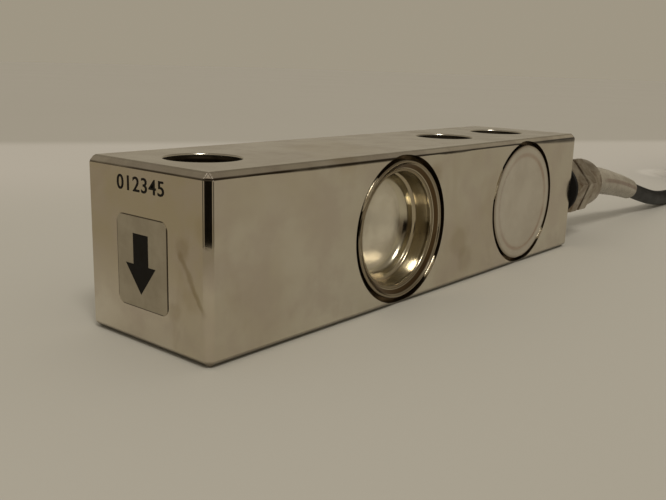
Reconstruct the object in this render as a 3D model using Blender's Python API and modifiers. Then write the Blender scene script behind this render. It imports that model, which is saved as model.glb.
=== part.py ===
"""Single ended shear beam load cell, in metres, +Z up.

A machined beam is bolted down at its cable end and loaded at its free end. The web between its two
gauge pockets carries the strain gauges, and drawn cups welded into the pockets seal them in. The
origin is at the centre of the beam's underside, +X points to the cable end, and the side with the
wiring cover faces -Y.
"""

import math

import bmesh
import bpy
from mathutils import Matrix, Vector

GAP = 0.0003  # between a piece and the neighbour that it rests on
THIN_GAP = 0.00012  # under foils and flat washers
OVERRUN = 0.001  # how far a cutter reaches past the face that it cuts

# Beam
BODY_LENGTH = 0.130
BODY_WIDTH = 0.03175
BODY_HEIGHT = 0.031
BODY_CHAMFER = 0.00105
BOLT_HOLE_RADIUS = 0.00675
BOLT_HOLE_BREAK = 0.0004
LOAD_HOLE_FROM_END = 0.0127
MOUNT_HOLE_FROM_END = 0.0157
MOUNT_HOLE_PITCH = 0.0254
GAUGE_FROM_LOAD_HOLE = 0.0381

# Pockets in the beam's sides, and the weld groove round each of them
LEDGE_RADIUS = 0.0140
GROOVE_WIDTH = 0.00095
GROOVE_DEPTH = 0.0016
LEDGE_WIDTH = 0.0007
POCKET_FILLET = 0.0015
WEB_THICKNESS = 0.00695
WIRING_WALL = 0.0017  # between the wiring pocket's floor and the mounting holes

# Drilled ways for the wires
PORT_FROM_SIDE = 0.005875
PORT_RADIUS = 0.0041
PORT_DEPTH = 0.0075
PORT_CONE = 0.0018
CHANNEL_RADIUS = 0.0016
WEB_HOLE_RADIUS = 0.0012
WEB_HOLE_FROM_GAUGE = 0.0094

# Drawn cup
SHEET = 0.0006
CUP_LIP_CLEARANCE = 0.0002
CUP_SIDE_CLEARANCE = 0.0011
CUP_OVER_WEB = 0.0036  # room for the gauge and its wires
CUP_STEP_FROM_FLOOR = 0.0032
CUP_STEP = 0.0007
CUP_FILLET = 0.0013

# Wiring cover
COVER_STEP_RADIUS = 0.0116
COVER_STEP_DEPTH = 0.00012
COVER_SPIGOT_DEPTH = 0.0009
COVER_SPIGOT_CLEARANCE = 0.0004

# Foil gauges and terminals on the web
FOIL_THICKNESS = 0.00012
GAUGE_SIDE = 0.0072
TERMINAL_LENGTH = 0.0060
TERMINAL_WIDTH = 0.0020
TERMINAL_THICKNESS = 0.0003
TERMINAL_FROM_GAUGE = 0.0062
BUNDLE_RADIUS = 0.0004
BUNDLE_SPREAD = 0.00065
BUNDLE_SPACING = 0.0018

# Wiring pocket
BOARD_LENGTH = 0.016
BOARD_HEIGHT = 0.011
BOARD_THICKNESS = 0.001
RESISTOR_LENGTH = 0.0046
RESISTOR_RADIUS = 0.00095
RESISTOR_PITCH_X = 0.0082
RESISTOR_PITCH_Z = 0.0070
WIRES_RADIUS = 0.0011

# Label on the load end
LABEL_WIDTH = 0.0133
LABEL_HEIGHT = 0.0157
LABEL_CORNER = 0.0019
LABEL_THICKNESS = 0.00015
LABEL_FROM_CENTRE = 0.00055
LABEL_MID_HEIGHT = 0.0143

# Gland
HEX_ACROSS_FLATS = 0.01429
HEX_CHAMFER = 0.0009
HEX_TURN = 20  # degrees that the hexagons are turned from a corner at the top
WASHER_RADIUS = 0.0074
WASHER_THICKNESS = 0.0010
SHANK_RADIUS = 0.00385
SHANK_LENGTH = 0.0068
FLANGE_THICKNESS = 0.0053
NOSE_RADIUS = 0.0057
NOSE_LENGTH = 0.0062
SEAL_SEAT_RADIUS = 0.0044
SEAL_SEAT_DEPTH = 0.0046
NUT_HEX_LENGTH = 0.0115
NUT_DOME_LENGTH = 0.0033
NUT_DOME_RADIUS = 0.0070
NUT_MOUTH_RADIUS = 0.0049
SEAL_LENGTH = 0.0044
COLLET_LENGTH = 0.0036
COLLET_RADIUS = 0.0046
COLLET_TIP_RADIUS = 0.0040
COLLET_SLOTS = 6
COLLET_SLOT_WIDTH = 0.0006
SLEEVE_STEM_LENGTH = 0.0042
SLEEVE_STEM_WALL = 0.0008
SLEEVE_LENGTH = 0.0375
SLEEVE_ROOT_WALL = 0.0016
SLEEVE_TIP_WALL = 0.0005

# Cable
CABLE_RADIUS = 0.00255
CABLE_CLEARANCE = 0.00022
CABLE_POINT_SPACING = 0.0085

# Hank of cable in line with the beam
HANK_STRAIGHT = 0.080
HANK_FOLD_RADIUS = 0.0204
HANK_WAIST = 0.00785
HANK_LAYERS = 5
HANK_FROM_BODY = 0.2577  # from the beam's centre to the centre of the near fold
HANK_FROM_CENTRE = 0.0070
TIE_WIDTH = 0.0048
TIE_THICKNESS = 0.0012
TIE_CORNER = 0.001
BOOT_LENGTH = 0.012
BOOT_WALL = 0.0005
TAIL_FOLD_RADIUS = 0.0153
TAIL_PAST_TIE = 0.034
CONDUCTOR_RADIUS = 0.00055
CONDUCTOR_LENGTH = 0.028
CONDUCTOR_SPACING = 0.003
CORE_OFFSET = 0.00085
DRAIN_RADIUS = 0.00035
DRAIN_SPREAD = 0.0085

FRONT = -BODY_LENGTH / 2
REAR = BODY_LENGTH / 2
NEAR = -BODY_WIDTH / 2
FAR = BODY_WIDTH / 2
MID_HEIGHT = BODY_HEIGHT / 2
LOAD_X = FRONT + LOAD_HOLE_FROM_END
MOUNT_X = (REAR - MOUNT_HOLE_FROM_END - MOUNT_HOLE_PITCH, REAR - MOUNT_HOLE_FROM_END)
GAUGE_X = LOAD_X + GAUGE_FROM_LOAD_HOLE
WIRING_X = sum(MOUNT_X) / 2
PORT_Y = NEAR + PORT_FROM_SIDE
LEDGE_DEPTH = SHEET + GAP
POCKET_RADIUS = LEDGE_RADIUS - LEDGE_WIDTH
CUP_MOUTH_RADIUS = POCKET_RADIUS - CUP_SIDE_CLEARANCE - SHEET
GAUGE_POCKET_DEPTH = (BODY_WIDTH - WEB_THICKNESS) / 2
CUP_DEPTH = GAUGE_POCKET_DEPTH - CUP_OVER_WEB - SHEET
CUP_STEP_DEPTH = CUP_DEPTH - CUP_STEP_FROM_FLOOR
WIRING_POCKET_DEPTH = BODY_WIDTH / 2 - BOLT_HOLE_RADIUS - WIRING_WALL
HANK_Y = -HANK_FROM_CENTRE
HANK_HEIGHT = HANK_LAYERS * 2 * CABLE_RADIUS
HANK_TURN_RADIUS = HANK_FOLD_RADIUS + CABLE_RADIUS

AXES = {
    "up": Matrix.Identity(3),
    "rear": Matrix.Rotation(math.radians(90), 3, "Y"),
    "near": Matrix.Rotation(math.radians(90), 3, "X"),
    "far": Matrix.Rotation(math.radians(-90), 3, "X"),
}

for old in list(bpy.data.objects):
    bpy.data.objects.remove(old, do_unlink=True)

parts = bpy.data.collections.new("shear_beam_load_cell")
cutters = bpy.data.collections.new("cutters")
for collection in (parts, cutters):
    bpy.context.scene.collection.children.link(collection)
cutters.hide_render = True


def material(name, colour, metallic, roughness):
    made = bpy.data.materials.new(name)
    made.use_nodes = True
    shader = made.node_tree.nodes["Principled BSDF"]
    shader.inputs["Base Color"].default_value = (*colour, 1)
    shader.inputs["Metallic"].default_value = metallic
    shader.inputs["Roughness"].default_value = roughness
    return made


STEEL = material("nickel_plated_steel", (0.62, 0.59, 0.53), 1, 0.22)
CUP_STEEL = material("drawn_stainless_steel", (0.66, 0.64, 0.60), 1, 0.14)
COVER_STEEL = material("welded_cover_steel", (0.58, 0.54, 0.49), 1, 0.28)
LABEL_FOIL = material("label_foil", (0.42, 0.40, 0.34), 0.4, 0.45)
GLAND_METAL = material("nickel_plated_brass", (0.64, 0.62, 0.57), 1, 0.2)
BLACK_RUBBER = material("black_rubber", (0.02, 0.02, 0.02), 0, 0.6)
SLEEVE_RUBBER = material("sleeve_rubber", (0.26, 0.22, 0.15), 0, 0.3)
CABLE_JACKET = material("cable_jacket", (0.018, 0.018, 0.02), 0, 0.45)
POLYIMIDE = material("polyimide_foil", (0.50, 0.27, 0.06), 0, 0.35)
COPPER = material("copper_terminals", (0.80, 0.47, 0.30), 1, 0.35)
BOARD_GREEN = material("glass_epoxy_board", (0.05, 0.17, 0.07), 0, 0.5)
RESISTOR_TAN = material("resistor_body", (0.42, 0.34, 0.22), 0, 0.5)
NYLON = material("nylon", (0.65, 0.63, 0.58), 0, 0.5)
TINNED = material("tinned_copper", (0.70, 0.68, 0.66), 1, 0.3)
WIRE_COLOURS = {
    "red": material("red_insulation", (0.50, 0.02, 0.02), 0, 0.4),
    "black": material("black_insulation", (0.02, 0.02, 0.02), 0, 0.4),
    "green": material("green_insulation", (0.02, 0.25, 0.05), 0, 0.4),
    "white": material("white_insulation", (0.75, 0.74, 0.70), 0, 0.4),
}


def add(name, data, look=None, place=(0, 0, 0), axis="up"):
    """Links a mesh or curve as a part, or as a cutter where it has no look."""
    made = bpy.data.objects.new(name, data)
    made.location = place
    made.rotation_euler = AXES[axis].to_euler()
    if look is None:
        cutters.objects.link(made)
        made.hide_render = True
        made.display_type = "WIRE"
    else:
        data.materials.append(look)
        parts.objects.link(made)
    return made


def boolean(target, tool, operation="DIFFERENCE"):
    modifier = target.modifiers.new(tool.name, "BOOLEAN")
    modifier.operation = operation
    modifier.solver = "EXACT"
    modifier.object = tool


def turned(name, profile, look=None, place=(0, 0, 0), axis="up", steps=48, closed=False):
    """Turns (radius, height) points, which run down the outer side, round the local Z axis."""
    outline = bpy.data.meshes.new(name)
    edges = [(i, i + 1) for i in range(len(profile) - 1)]
    if closed:
        edges.append((len(profile) - 1, 0))
    outline.from_pydata([(radius, 0, height) for radius, height in profile], edges, [])
    made = add(name, outline, look, place, axis)
    screw = made.modifiers.new("Turn", "SCREW")
    screw.steps = steps
    screw.render_steps = steps
    screw.use_merge_vertices = True
    screw.merge_threshold = 0.00001
    screw.use_smooth_shade = True
    return made


def rod(name, radius, start, end, axis, look=None, sides=24):
    """A plain cylinder between two points that lie along one axis."""
    start, end = Vector(start), Vector(end)
    half = (end - start).length / 2
    return turned(
        name,
        [(0, half), (radius, half), (radius, -half), (0, -half)],
        look,
        (start + end) / 2,
        axis,
        sides,
    )


def block(name, size, look=None, place=(0, 0, 0)):
    made = bpy.data.meshes.new(name)
    mesh = bmesh.new()
    bmesh.ops.create_cube(mesh, size=1)
    bmesh.ops.scale(mesh, vec=size, verts=mesh.verts)
    mesh.to_mesh(made)
    mesh.free()
    return add(name, made, look, place)


def chamfer(made, width, segments=1):
    bevel = made.modifiers.new("Edges", "BEVEL")
    bevel.width = width
    bevel.segments = segments
    bevel.limit_method = "ANGLE"


def arc(centre, radius, start, end, steps):
    """Points on an arc in a profile's plane, from one angle in degrees to another."""
    points = []
    for i in range(steps + 1):
        angle = math.radians(start + (end - start) * i / steps)
        points.append((centre[0] + radius * math.cos(angle), centre[1] + radius * math.sin(angle)))
    return points


def smooth_route(points, spacing):
    """Evenly spaced points on a smooth curve through the route's own points."""
    route = [Vector(point) for point in points]
    route = [2 * route[0] - route[1]] + route + [2 * route[-1] - route[-2]]
    fine = []
    for i in range(1, len(route) - 2):
        before, start, end, after = route[i - 1 : i + 3]
        for k in range(24):
            t = k / 24
            fine.append(
                0.5
                * (
                    2 * start
                    + (end - before) * t
                    + (2 * before - 5 * start + 4 * end - after) * t * t
                    + (3 * start - before - 3 * end + after) * t * t * t
                )
            )
    fine.append(route[-2])
    reach = [0.0]
    for a, b in zip(fine, fine[1:]):
        reach.append(reach[-1] + (b - a).length)
    count = max(2, round(reach[-1] / spacing))
    even = []
    k = 0
    for i in range(count + 1):
        want = reach[-1] * i / count
        while k < len(reach) - 2 and reach[k + 1] < want:
            k += 1
        share = (want - reach[k]) / (reach[k + 1] - reach[k])
        even.append(fine[k].lerp(fine[k + 1], min(1, max(0, share))))
    return even


def tube(name, points, radius, look=None, resolution=2, taper=None):
    """A round tube along the points. A taper gives each point's share of the radius."""
    curve = bpy.data.curves.new(name, "CURVE")
    curve.dimensions = "3D"
    curve.bevel_depth = radius
    curve.bevel_resolution = resolution
    curve.use_fill_caps = True
    spline = curve.splines.new("POLY")
    spline.points.add(len(points) - 1)
    for i, point in enumerate(points):
        spline.points[i].co = (*point, 1)
        spline.points[i].radius = taper[i] if taper else 1
    spline.use_smooth = True
    return add(name, curve, look)


def plate(name, outlines, thickness, look, place=(0, 0, 0), axis="up"):
    """A flat plate with the first outline as its edge and any others as holes."""
    curve = bpy.data.curves.new(name, "CURVE")
    curve.dimensions = "2D"
    curve.fill_mode = "BOTH"
    curve.extrude = thickness / 2
    for outline in outlines:
        spline = curve.splines.new("POLY")
        spline.points.add(len(outline) - 1)
        for point, (x, y) in zip(spline.points, outline):
            point.co = (x, y, 0, 1)
        spline.use_cyclic_u = True
    return add(name, curve, look, place, axis)


def as_mesh(made):
    """Turns a curve object into a closed mesh object of the same name."""
    bpy.context.view_layer.update()
    graph = bpy.context.evaluated_depsgraph_get()
    mesh = bpy.data.meshes.new_from_object(made.evaluated_get(graph))
    welded = bmesh.new()
    welded.from_mesh(mesh)
    bmesh.ops.remove_doubles(welded, verts=welded.verts, dist=0.000001)
    bmesh.ops.recalc_face_normals(welded, faces=welded.faces)
    welded.to_mesh(mesh)
    welded.free()
    name, place = made.name, made.matrix_world.copy()
    home = made.users_collection[0]
    hidden, shown_as = made.hide_render, made.display_type
    bpy.data.objects.remove(made, do_unlink=True)
    mesh.name = name
    solid = bpy.data.objects.new(name, mesh)
    solid.matrix_world = place
    solid.hide_render = hidden
    solid.display_type = shown_as
    home.objects.link(solid)
    return solid


def rounded_rectangle(width, height, corner, steps=5):
    points = []
    for x, y, start in ((1, 1, 0), (-1, 1, 90), (-1, -1, 180), (1, -1, 270)):
        centre = (x * (width / 2 - corner), y * (height / 2 - corner))
        points += arc(centre, corner, start, start + 90, steps)
    return points


def hexagon(name, start, length):
    """A hexagonal prism along X, turned from a corner at the top."""
    mesh = bmesh.new()
    radius = HEX_ACROSS_FLATS / math.sqrt(3)
    bmesh.ops.create_cone(mesh, cap_ends=True, segments=6, radius1=radius, radius2=radius, depth=length)
    turn = Matrix.Rotation(math.radians(30 + HEX_TURN), 3, "Z")
    bmesh.ops.rotate(mesh, verts=mesh.verts, matrix=turn)
    made = bpy.data.meshes.new(name)
    mesh.to_mesh(made)
    mesh.free()
    return add(name, made, GLAND_METAL, (start + length / 2, PORT_Y, MID_HEIGHT), "rear")


# Beam: a chamfered bar with its holes, stepped pockets and drilled ways

body = block("body", (BODY_LENGTH, BODY_WIDTH, BODY_HEIGHT), STEEL, (0, 0, MID_HEIGHT))
chamfer(body, BODY_CHAMFER)


def bolt_hole(name, x):
    """A through hole with a small edge break at both faces."""
    half = BODY_HEIGHT / 2
    past = half + BOLT_HOLE_BREAK
    wide = BOLT_HOLE_RADIUS + 2 * BOLT_HOLE_BREAK
    inner = half - BOLT_HOLE_BREAK
    profile = [(0, past), (wide, past), (BOLT_HOLE_RADIUS, inner), (BOLT_HOLE_RADIUS, -inner)]
    profile += [(wide, -past), (0, -past)]
    boolean(body, turned(name, profile, place=(x, 0, MID_HEIGHT), steps=36))


bolt_hole("load_hole", LOAD_X)
for name, x in zip(("mount_hole_inner", "mount_hole_outer"), MOUNT_X):
    bolt_hole(name, x)


def pocket(name, x, side, depth):
    """A round pocket with a ledge for its lid and a weld groove round the ledge."""
    groove_radius = LEDGE_RADIUS + GROOVE_WIDTH
    profile = [
        (0, OVERRUN),
        (groove_radius, OVERRUN),
        (groove_radius, -GROOVE_DEPTH),
        (LEDGE_RADIUS, -GROOVE_DEPTH),
        (LEDGE_RADIUS, -LEDGE_DEPTH),
        (POCKET_RADIUS, -LEDGE_DEPTH),
    ]
    centre = (POCKET_RADIUS - POCKET_FILLET, POCKET_FILLET - depth)
    profile += arc(centre, POCKET_FILLET, 0, -90, 2)
    profile.append((0, -depth))
    face = NEAR if side == "near" else FAR
    boolean(body, turned(name, profile, place=(x, face, MID_HEIGHT), axis=side, steps=48))


pocket("gauge_pocket_near", GAUGE_X, "near", GAUGE_POCKET_DEPTH)
pocket("gauge_pocket_far", GAUGE_X, "far", GAUGE_POCKET_DEPTH)
pocket("wiring_pocket", WIRING_X, "near", WIRING_POCKET_DEPTH)

port = turned(
    "cable_port",
    [
        (0, PORT_CONE),
        (PORT_RADIUS, PORT_CONE),
        (PORT_RADIUS, -PORT_DEPTH),
        (CHANNEL_RADIUS, -PORT_DEPTH - PORT_CONE),
        (CHANNEL_RADIUS, WIRING_X + POCKET_RADIUS / 2 - REAR),
        (0, WIRING_X + POCKET_RADIUS / 2 - REAR),
    ],
    place=(REAR, PORT_Y, MID_HEIGHT),
    axis="rear",
    steps=32,
)
boolean(body, port)
channel = rod(
    "wire_channel",
    CHANNEL_RADIUS,
    (GAUGE_X + POCKET_RADIUS / 2, PORT_Y, MID_HEIGHT),
    (WIRING_X - POCKET_RADIUS / 2, PORT_Y, MID_HEIGHT),
    "rear",
    sides=20,
)
boolean(body, channel)
WEB_HOLE_X = GAUGE_X + WEB_HOLE_FROM_GAUGE
web_hole = rod(
    "web_hole",
    WEB_HOLE_RADIUS,
    (WEB_HOLE_X, -WEB_THICKNESS, MID_HEIGHT),
    (WEB_HOLE_X, WEB_THICKNESS, MID_HEIGHT),
    "far",
    sides=20,
)
boolean(body, web_hole)


# Lids of the pockets


def gauge_cup(name, side):
    """A cup drawn from thin sheet, with a rounded lip, a step half way down and a flat floor."""
    lip_radius = POCKET_RADIUS - CUP_LIP_CLEARANCE
    wall_radius = CUP_MOUTH_RADIUS - CUP_STEP
    lip_slope = (lip_radius - CUP_MOUTH_RADIUS) / 2
    surface = [
        (LEDGE_RADIUS, 0),
        (lip_radius, 0),
        (lip_radius - lip_slope, -lip_slope),
        (CUP_MOUTH_RADIUS + lip_slope / 3, -1.5 * lip_slope),
        (CUP_MOUTH_RADIUS, -2.4 * lip_slope),
        (CUP_MOUTH_RADIUS, CUP_STEP / 3 - CUP_STEP_DEPTH),
        (CUP_MOUTH_RADIUS - CUP_STEP / 3, -CUP_STEP_DEPTH),
        (wall_radius, -CUP_STEP_DEPTH - 2 * CUP_STEP / 3),
    ]
    surface += arc((wall_radius - CUP_FILLET, CUP_FILLET - CUP_DEPTH), CUP_FILLET, 0, -90, 2)
    surface.append((0, -CUP_DEPTH))
    face = NEAR if side == "near" else FAR
    made = turned(name, surface, CUP_STEEL, (GAUGE_X, face, MID_HEIGHT), side, 40)
    shell = made.modifiers.new("Sheet", "SOLIDIFY")
    shell.thickness = SHEET
    shell.offset = 1
    shell.use_even_offset = True
    return made


gauge_cup("gauge_cup_near", "near")
gauge_cup("gauge_cup_far", "far")

spigot_radius = POCKET_RADIUS - COVER_SPIGOT_CLEARANCE
turned(
    "wiring_cover",
    [
        (0, -COVER_STEP_DEPTH),
        (COVER_STEP_RADIUS, -COVER_STEP_DEPTH),
        (COVER_STEP_RADIUS + COVER_STEP_DEPTH, 0),
        (LEDGE_RADIUS, 0),
        (LEDGE_RADIUS, -SHEET),
        (spigot_radius, -SHEET),
        (spigot_radius, -SHEET - COVER_SPIGOT_DEPTH),
        (spigot_radius - SHEET, -SHEET - COVER_SPIGOT_DEPTH),
        (spigot_radius - SHEET, -SHEET - COVER_STEP_DEPTH),
        (0, -SHEET - COVER_STEP_DEPTH),
    ],
    COVER_STEEL,
    (WIRING_X, NEAR, MID_HEIGHT),
    "near",
    40,
)


# Gauges and terminals bonded to the web, and the wires from them

WEB_FACE = WEB_THICKNESS / 2
TERMINAL_X = GAUGE_X + TERMINAL_FROM_GAUGE
for side, sign in (("near", -1), ("far", 1)):
    foil_y = sign * (WEB_FACE + THIN_GAP + FOIL_THICKNESS / 2)
    foil = (GAUGE_SIDE, FOIL_THICKNESS, GAUGE_SIDE)
    block(f"strain_gauge_{side}", foil, POLYIMIDE, (GAUGE_X, foil_y, MID_HEIGHT))
    strip_y = sign * (WEB_FACE + THIN_GAP + TERMINAL_THICKNESS / 2)
    strip = (TERMINAL_WIDTH, TERMINAL_THICKNESS, TERMINAL_LENGTH)
    block(f"gauge_terminals_{side}", strip, COPPER, (TERMINAL_X, strip_y, MID_HEIGHT))

# Between the cup's wall and the pocket's wall the wires run side by side
SLOT_X = GAUGE_X + (POCKET_RADIUS + CUP_MOUTH_RADIUS - CUP_STEP + SHEET) / 2
SOLDER_Y = WEB_FACE + THIN_GAP + TERMINAL_THICKNESS + GAP + BUNDLE_RADIUS
BOARD_FACE = NEAR + WIRING_POCKET_DEPTH - GAP - BOARD_THICKNESS
OVER_BOARD = BOARD_FACE - GAP - WIRES_RADIUS
POCKET_LEFT = WIRING_X - POCKET_RADIUS
low, high = MID_HEIGHT - BUNDLE_SPREAD, MID_HEIGHT + BUNDLE_SPREAD
CUP_FLOOR = NEAR + CUP_DEPTH + SHEET
TURN_Y = (CUP_FLOOR - SOLDER_Y) / 2


def to_board(z):
    """The way that both bundles take from beside the cup to the board."""
    return [
        (SLOT_X, TURN_Y - 0.0018, z),
        (SLOT_X, PORT_Y + 0.0009, z),
        (SLOT_X + 0.0008, PORT_Y, z),
        (SLOT_X + 0.0060, PORT_Y, z),
        (POCKET_LEFT - 0.0010, PORT_Y, z),
        (POCKET_LEFT + 0.0030, OVER_BOARD + 0.0002, z),
        (POCKET_LEFT + 0.0060, OVER_BOARD, z),
    ]


tube(
    "lead_bundle_near",
    smooth_route(
        [
            (TERMINAL_X, -SOLDER_Y, low),
            (TERMINAL_X + 0.0025, TURN_Y + 0.0004, low),
            (SLOT_X - 0.0012, TURN_Y - 0.0001, low),
        ]
        + to_board(low),
        BUNDLE_SPACING,
    ),
    BUNDLE_RADIUS,
    COPPER,
)
tube(
    "lead_bundle_far",
    smooth_route(
        [
            (TERMINAL_X, SOLDER_Y, high),
            (TERMINAL_X + 0.0016, SOLDER_Y + 0.0004, high),
            (WEB_HOLE_X, WEB_FACE, MID_HEIGHT),
            (WEB_HOLE_X, 0, MID_HEIGHT),
            (WEB_HOLE_X, -WEB_FACE, MID_HEIGHT),
            (WEB_HOLE_X + 0.0010, TURN_Y + 0.0002, high),
            (SLOT_X - 0.0008, TURN_Y - 0.0005, high),
        ]
        + to_board(high),
        BUNDLE_SPACING,
    ),
    BUNDLE_RADIUS,
    COPPER,
)


# Board and resistors in the wiring pocket

block(
    "terminal_board",
    (BOARD_LENGTH, BOARD_THICKNESS, BOARD_HEIGHT),
    BOARD_GREEN,
    (WIRING_X, BOARD_FACE + BOARD_THICKNESS / 2, MID_HEIGHT),
)
RESISTORS = {
    "span_resistor_a": (-1, 1),
    "span_resistor_b": (1, 1),
    "zero_resistor": (-1, -1),
    "temperature_resistor": (1, -1),
}
cap = 0.15 * RESISTOR_LENGTH
neck = 0.82 * RESISTOR_RADIUS
half = RESISTOR_LENGTH / 2
for name, (along, up) in RESISTORS.items():
    turned(
        name,
        [
            (0, half),
            (neck, half),
            (RESISTOR_RADIUS, half - cap / 2),
            (RESISTOR_RADIUS, half - cap),
            (neck, half - 1.4 * cap),
            (neck, 1.4 * cap - half),
            (RESISTOR_RADIUS, cap - half),
            (RESISTOR_RADIUS, cap / 2 - half),
            (neck, -half),
            (0, -half),
        ],
        RESISTOR_TAN,
        (
            WIRING_X + along * RESISTOR_PITCH_X / 2,
            BOARD_FACE - THIN_GAP - RESISTOR_RADIUS,
            MID_HEIGHT + up * RESISTOR_PITCH_Z / 2,
        ),
        "rear",
        12,
    )


# Label on the load end

plate(
    "direction_label",
    [rounded_rectangle(LABEL_HEIGHT, LABEL_WIDTH, LABEL_CORNER)],
    LABEL_THICKNESS,
    LABEL_FOIL,
    (FRONT - THIN_GAP - LABEL_THICKNESS / 2, LABEL_FROM_CENTRE, LABEL_MID_HEIGHT),
    "rear",
)


# Gland: everything is placed along the port's axis from the beam's rear face

WASHER_START = REAR + THIN_GAP
FLANGE_START = WASHER_START + WASHER_THICKNESS + THIN_GAP
FLANGE_END = FLANGE_START + FLANGE_THICKNESS
NUT_START = FLANGE_END + GAP
NUT_HEX_END = NUT_START + NUT_HEX_LENGTH
NUT_END = NUT_HEX_END + NUT_DOME_LENGTH
SHANK_START = FLANGE_START - SHANK_LENGTH - WASHER_THICKNESS
NOSE_END = FLANGE_END + NOSE_LENGTH
CABLE_BORE = CABLE_RADIUS + CABLE_CLEARANCE
SEAL_START = NOSE_END - SEAL_SEAT_DEPTH + GAP
COLLET_START = SEAL_START + SEAL_LENGTH + GAP
COLLET_END = COLLET_START + COLLET_LENGTH
STEM_START = NUT_END - SLEEVE_STEM_LENGTH
STEM_RADIUS = CABLE_BORE + SLEEVE_STEM_WALL
AXIS_START = (0, PORT_Y, MID_HEIGHT)


def ring(name, start, end, inner, outer, look, steps=36):
    profile = [(outer, end), (outer, start), (inner, start), (inner, end)]
    return turned(name, profile, look, AXIS_START, "rear", steps, closed=True)


washer_end = WASHER_START + WASHER_THICKNESS
ring("seal_washer", WASHER_START, washer_end, SHANK_RADIUS + GAP, WASHER_RADIUS, BLACK_RUBBER)


def hex_chamfer(name, start, end):
    """The turned shape that bevels a hexagon's corners at both ends."""
    corner = HEX_ACROSS_FLATS / math.sqrt(3)
    tip = corner - 1.7 * HEX_CHAMFER
    past = corner + OVERRUN
    drop = (past - tip) * math.tan(math.radians(30))
    profile = [(0, end), (tip, end), (past, end - drop), (past, start + drop), (tip, start), (0, start)]
    return turned(name, profile, None, AXIS_START, "rear", 36)


gland_body = hexagon("gland_body", FLANGE_START, FLANGE_THICKNESS)
boolean(gland_body, hex_chamfer("flange_corners", FLANGE_START, FLANGE_END), "INTERSECT")
screw_in = turned(
    "screwed_ends",
    [
        (0, NOSE_END),
        (NOSE_RADIUS - GAP, NOSE_END),
        (NOSE_RADIUS, NOSE_END - GAP),
        (NOSE_RADIUS, FLANGE_START + FLANGE_THICKNESS / 2),
        (SHANK_RADIUS, FLANGE_START + FLANGE_THICKNESS / 2),
        (SHANK_RADIUS, SHANK_START + GAP),
        (SHANK_RADIUS - GAP, SHANK_START),
        (0, SHANK_START),
    ],
    None,
    AXIS_START,
    "rear",
    24,
)
boolean(gland_body, screw_in, "UNION")
gland_bore = turned(
    "gland_bore",
    [
        (0, NOSE_END + OVERRUN),
        (SEAL_SEAT_RADIUS, NOSE_END + OVERRUN),
        (SEAL_SEAT_RADIUS, NOSE_END - SEAL_SEAT_DEPTH),
        (CABLE_BORE, NOSE_END - SEAL_SEAT_DEPTH),
        (CABLE_BORE, SHANK_START - OVERRUN),
        (0, SHANK_START - OVERRUN),
    ],
    None,
    AXIS_START,
    "rear",
    24,
)
boolean(gland_body, gland_bore)

seal_end = SEAL_START + SEAL_LENGTH
ring("gland_seal", SEAL_START, seal_end, CABLE_BORE, SEAL_SEAT_RADIUS - GAP, BLACK_RUBBER, 24)

clamp_ring = turned(
    "clamp_ring",
    [
        (COLLET_TIP_RADIUS, COLLET_END),
        (COLLET_RADIUS, COLLET_START + COLLET_LENGTH / 2),
        (COLLET_RADIUS, COLLET_START),
        (CABLE_BORE, COLLET_START),
        (CABLE_BORE, COLLET_END),
    ],
    NYLON,
    AXIS_START,
    "rear",
    24,
    closed=True,
)
for i in range(COLLET_SLOTS // 2):
    slot = block(
        f"collet_slot_{i}",
        (2 * COLLET_RADIUS + 2 * OVERRUN, COLLET_SLOT_WIDTH, COLLET_LENGTH),
        None,
        (COLLET_START + COLLET_LENGTH * 0.8, PORT_Y, MID_HEIGHT),
    )
    turn = Matrix.Rotation(2 * math.pi * (i + 0.25) / COLLET_SLOTS, 3, "X") @ AXES["rear"]
    slot.rotation_euler = turn.to_euler()
    boolean(clamp_ring, slot)

gland_nut = hexagon("gland_nut", NUT_START, NUT_HEX_LENGTH)
boolean(gland_nut, hex_chamfer("nut_corners", NUT_START, NUT_HEX_END), "INTERSECT")
dome_fall = NUT_DOME_RADIUS - NUT_MOUTH_RADIUS
dome = [(0, NUT_END)]
for i in range(7):
    t = i / 6
    swell = math.sin(t * math.pi / 2) ** 0.85
    dome.append((NUT_MOUTH_RADIUS + dome_fall * swell, NUT_END - NUT_DOME_LENGTH * t))
dome += [
    (NUT_DOME_RADIUS, NUT_HEX_END - NUT_HEX_LENGTH / 2),
    (0, NUT_HEX_END - NUT_HEX_LENGTH / 2),
]
boolean(gland_nut, turned("nut_dome", dome, None, AXIS_START, "rear", 36), "UNION")
nut_inside = turned(
    "nut_inside",
    [
        (0, NUT_END + OVERRUN),
        (STEM_RADIUS + GAP, NUT_END + OVERRUN),
        (STEM_RADIUS + GAP, STEM_START - GAP),
        (COLLET_TIP_RADIUS + GAP, STEM_START - GAP),
        (NOSE_RADIUS + GAP, NOSE_END + GAP),
        (NOSE_RADIUS + GAP, NUT_START - OVERRUN),
        (0, NUT_START - OVERRUN),
    ],
    None,
    AXIS_START,
    "rear",
    24,
)
boolean(gland_nut, nut_inside)


# Cable: along the gland, down to the table in the sleeve's bend, and off to the hank

CABLE_START = SHANK_START
floor_z = CABLE_RADIUS
HANK_LEFT = HANK_FROM_BODY
OUTER_TURN_Y = HANK_Y - HANK_FOLD_RADIUS
straight_in = [(x, PORT_Y, MID_HEIGHT) for x in (CABLE_START, NUT_START, NUT_END)]
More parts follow.
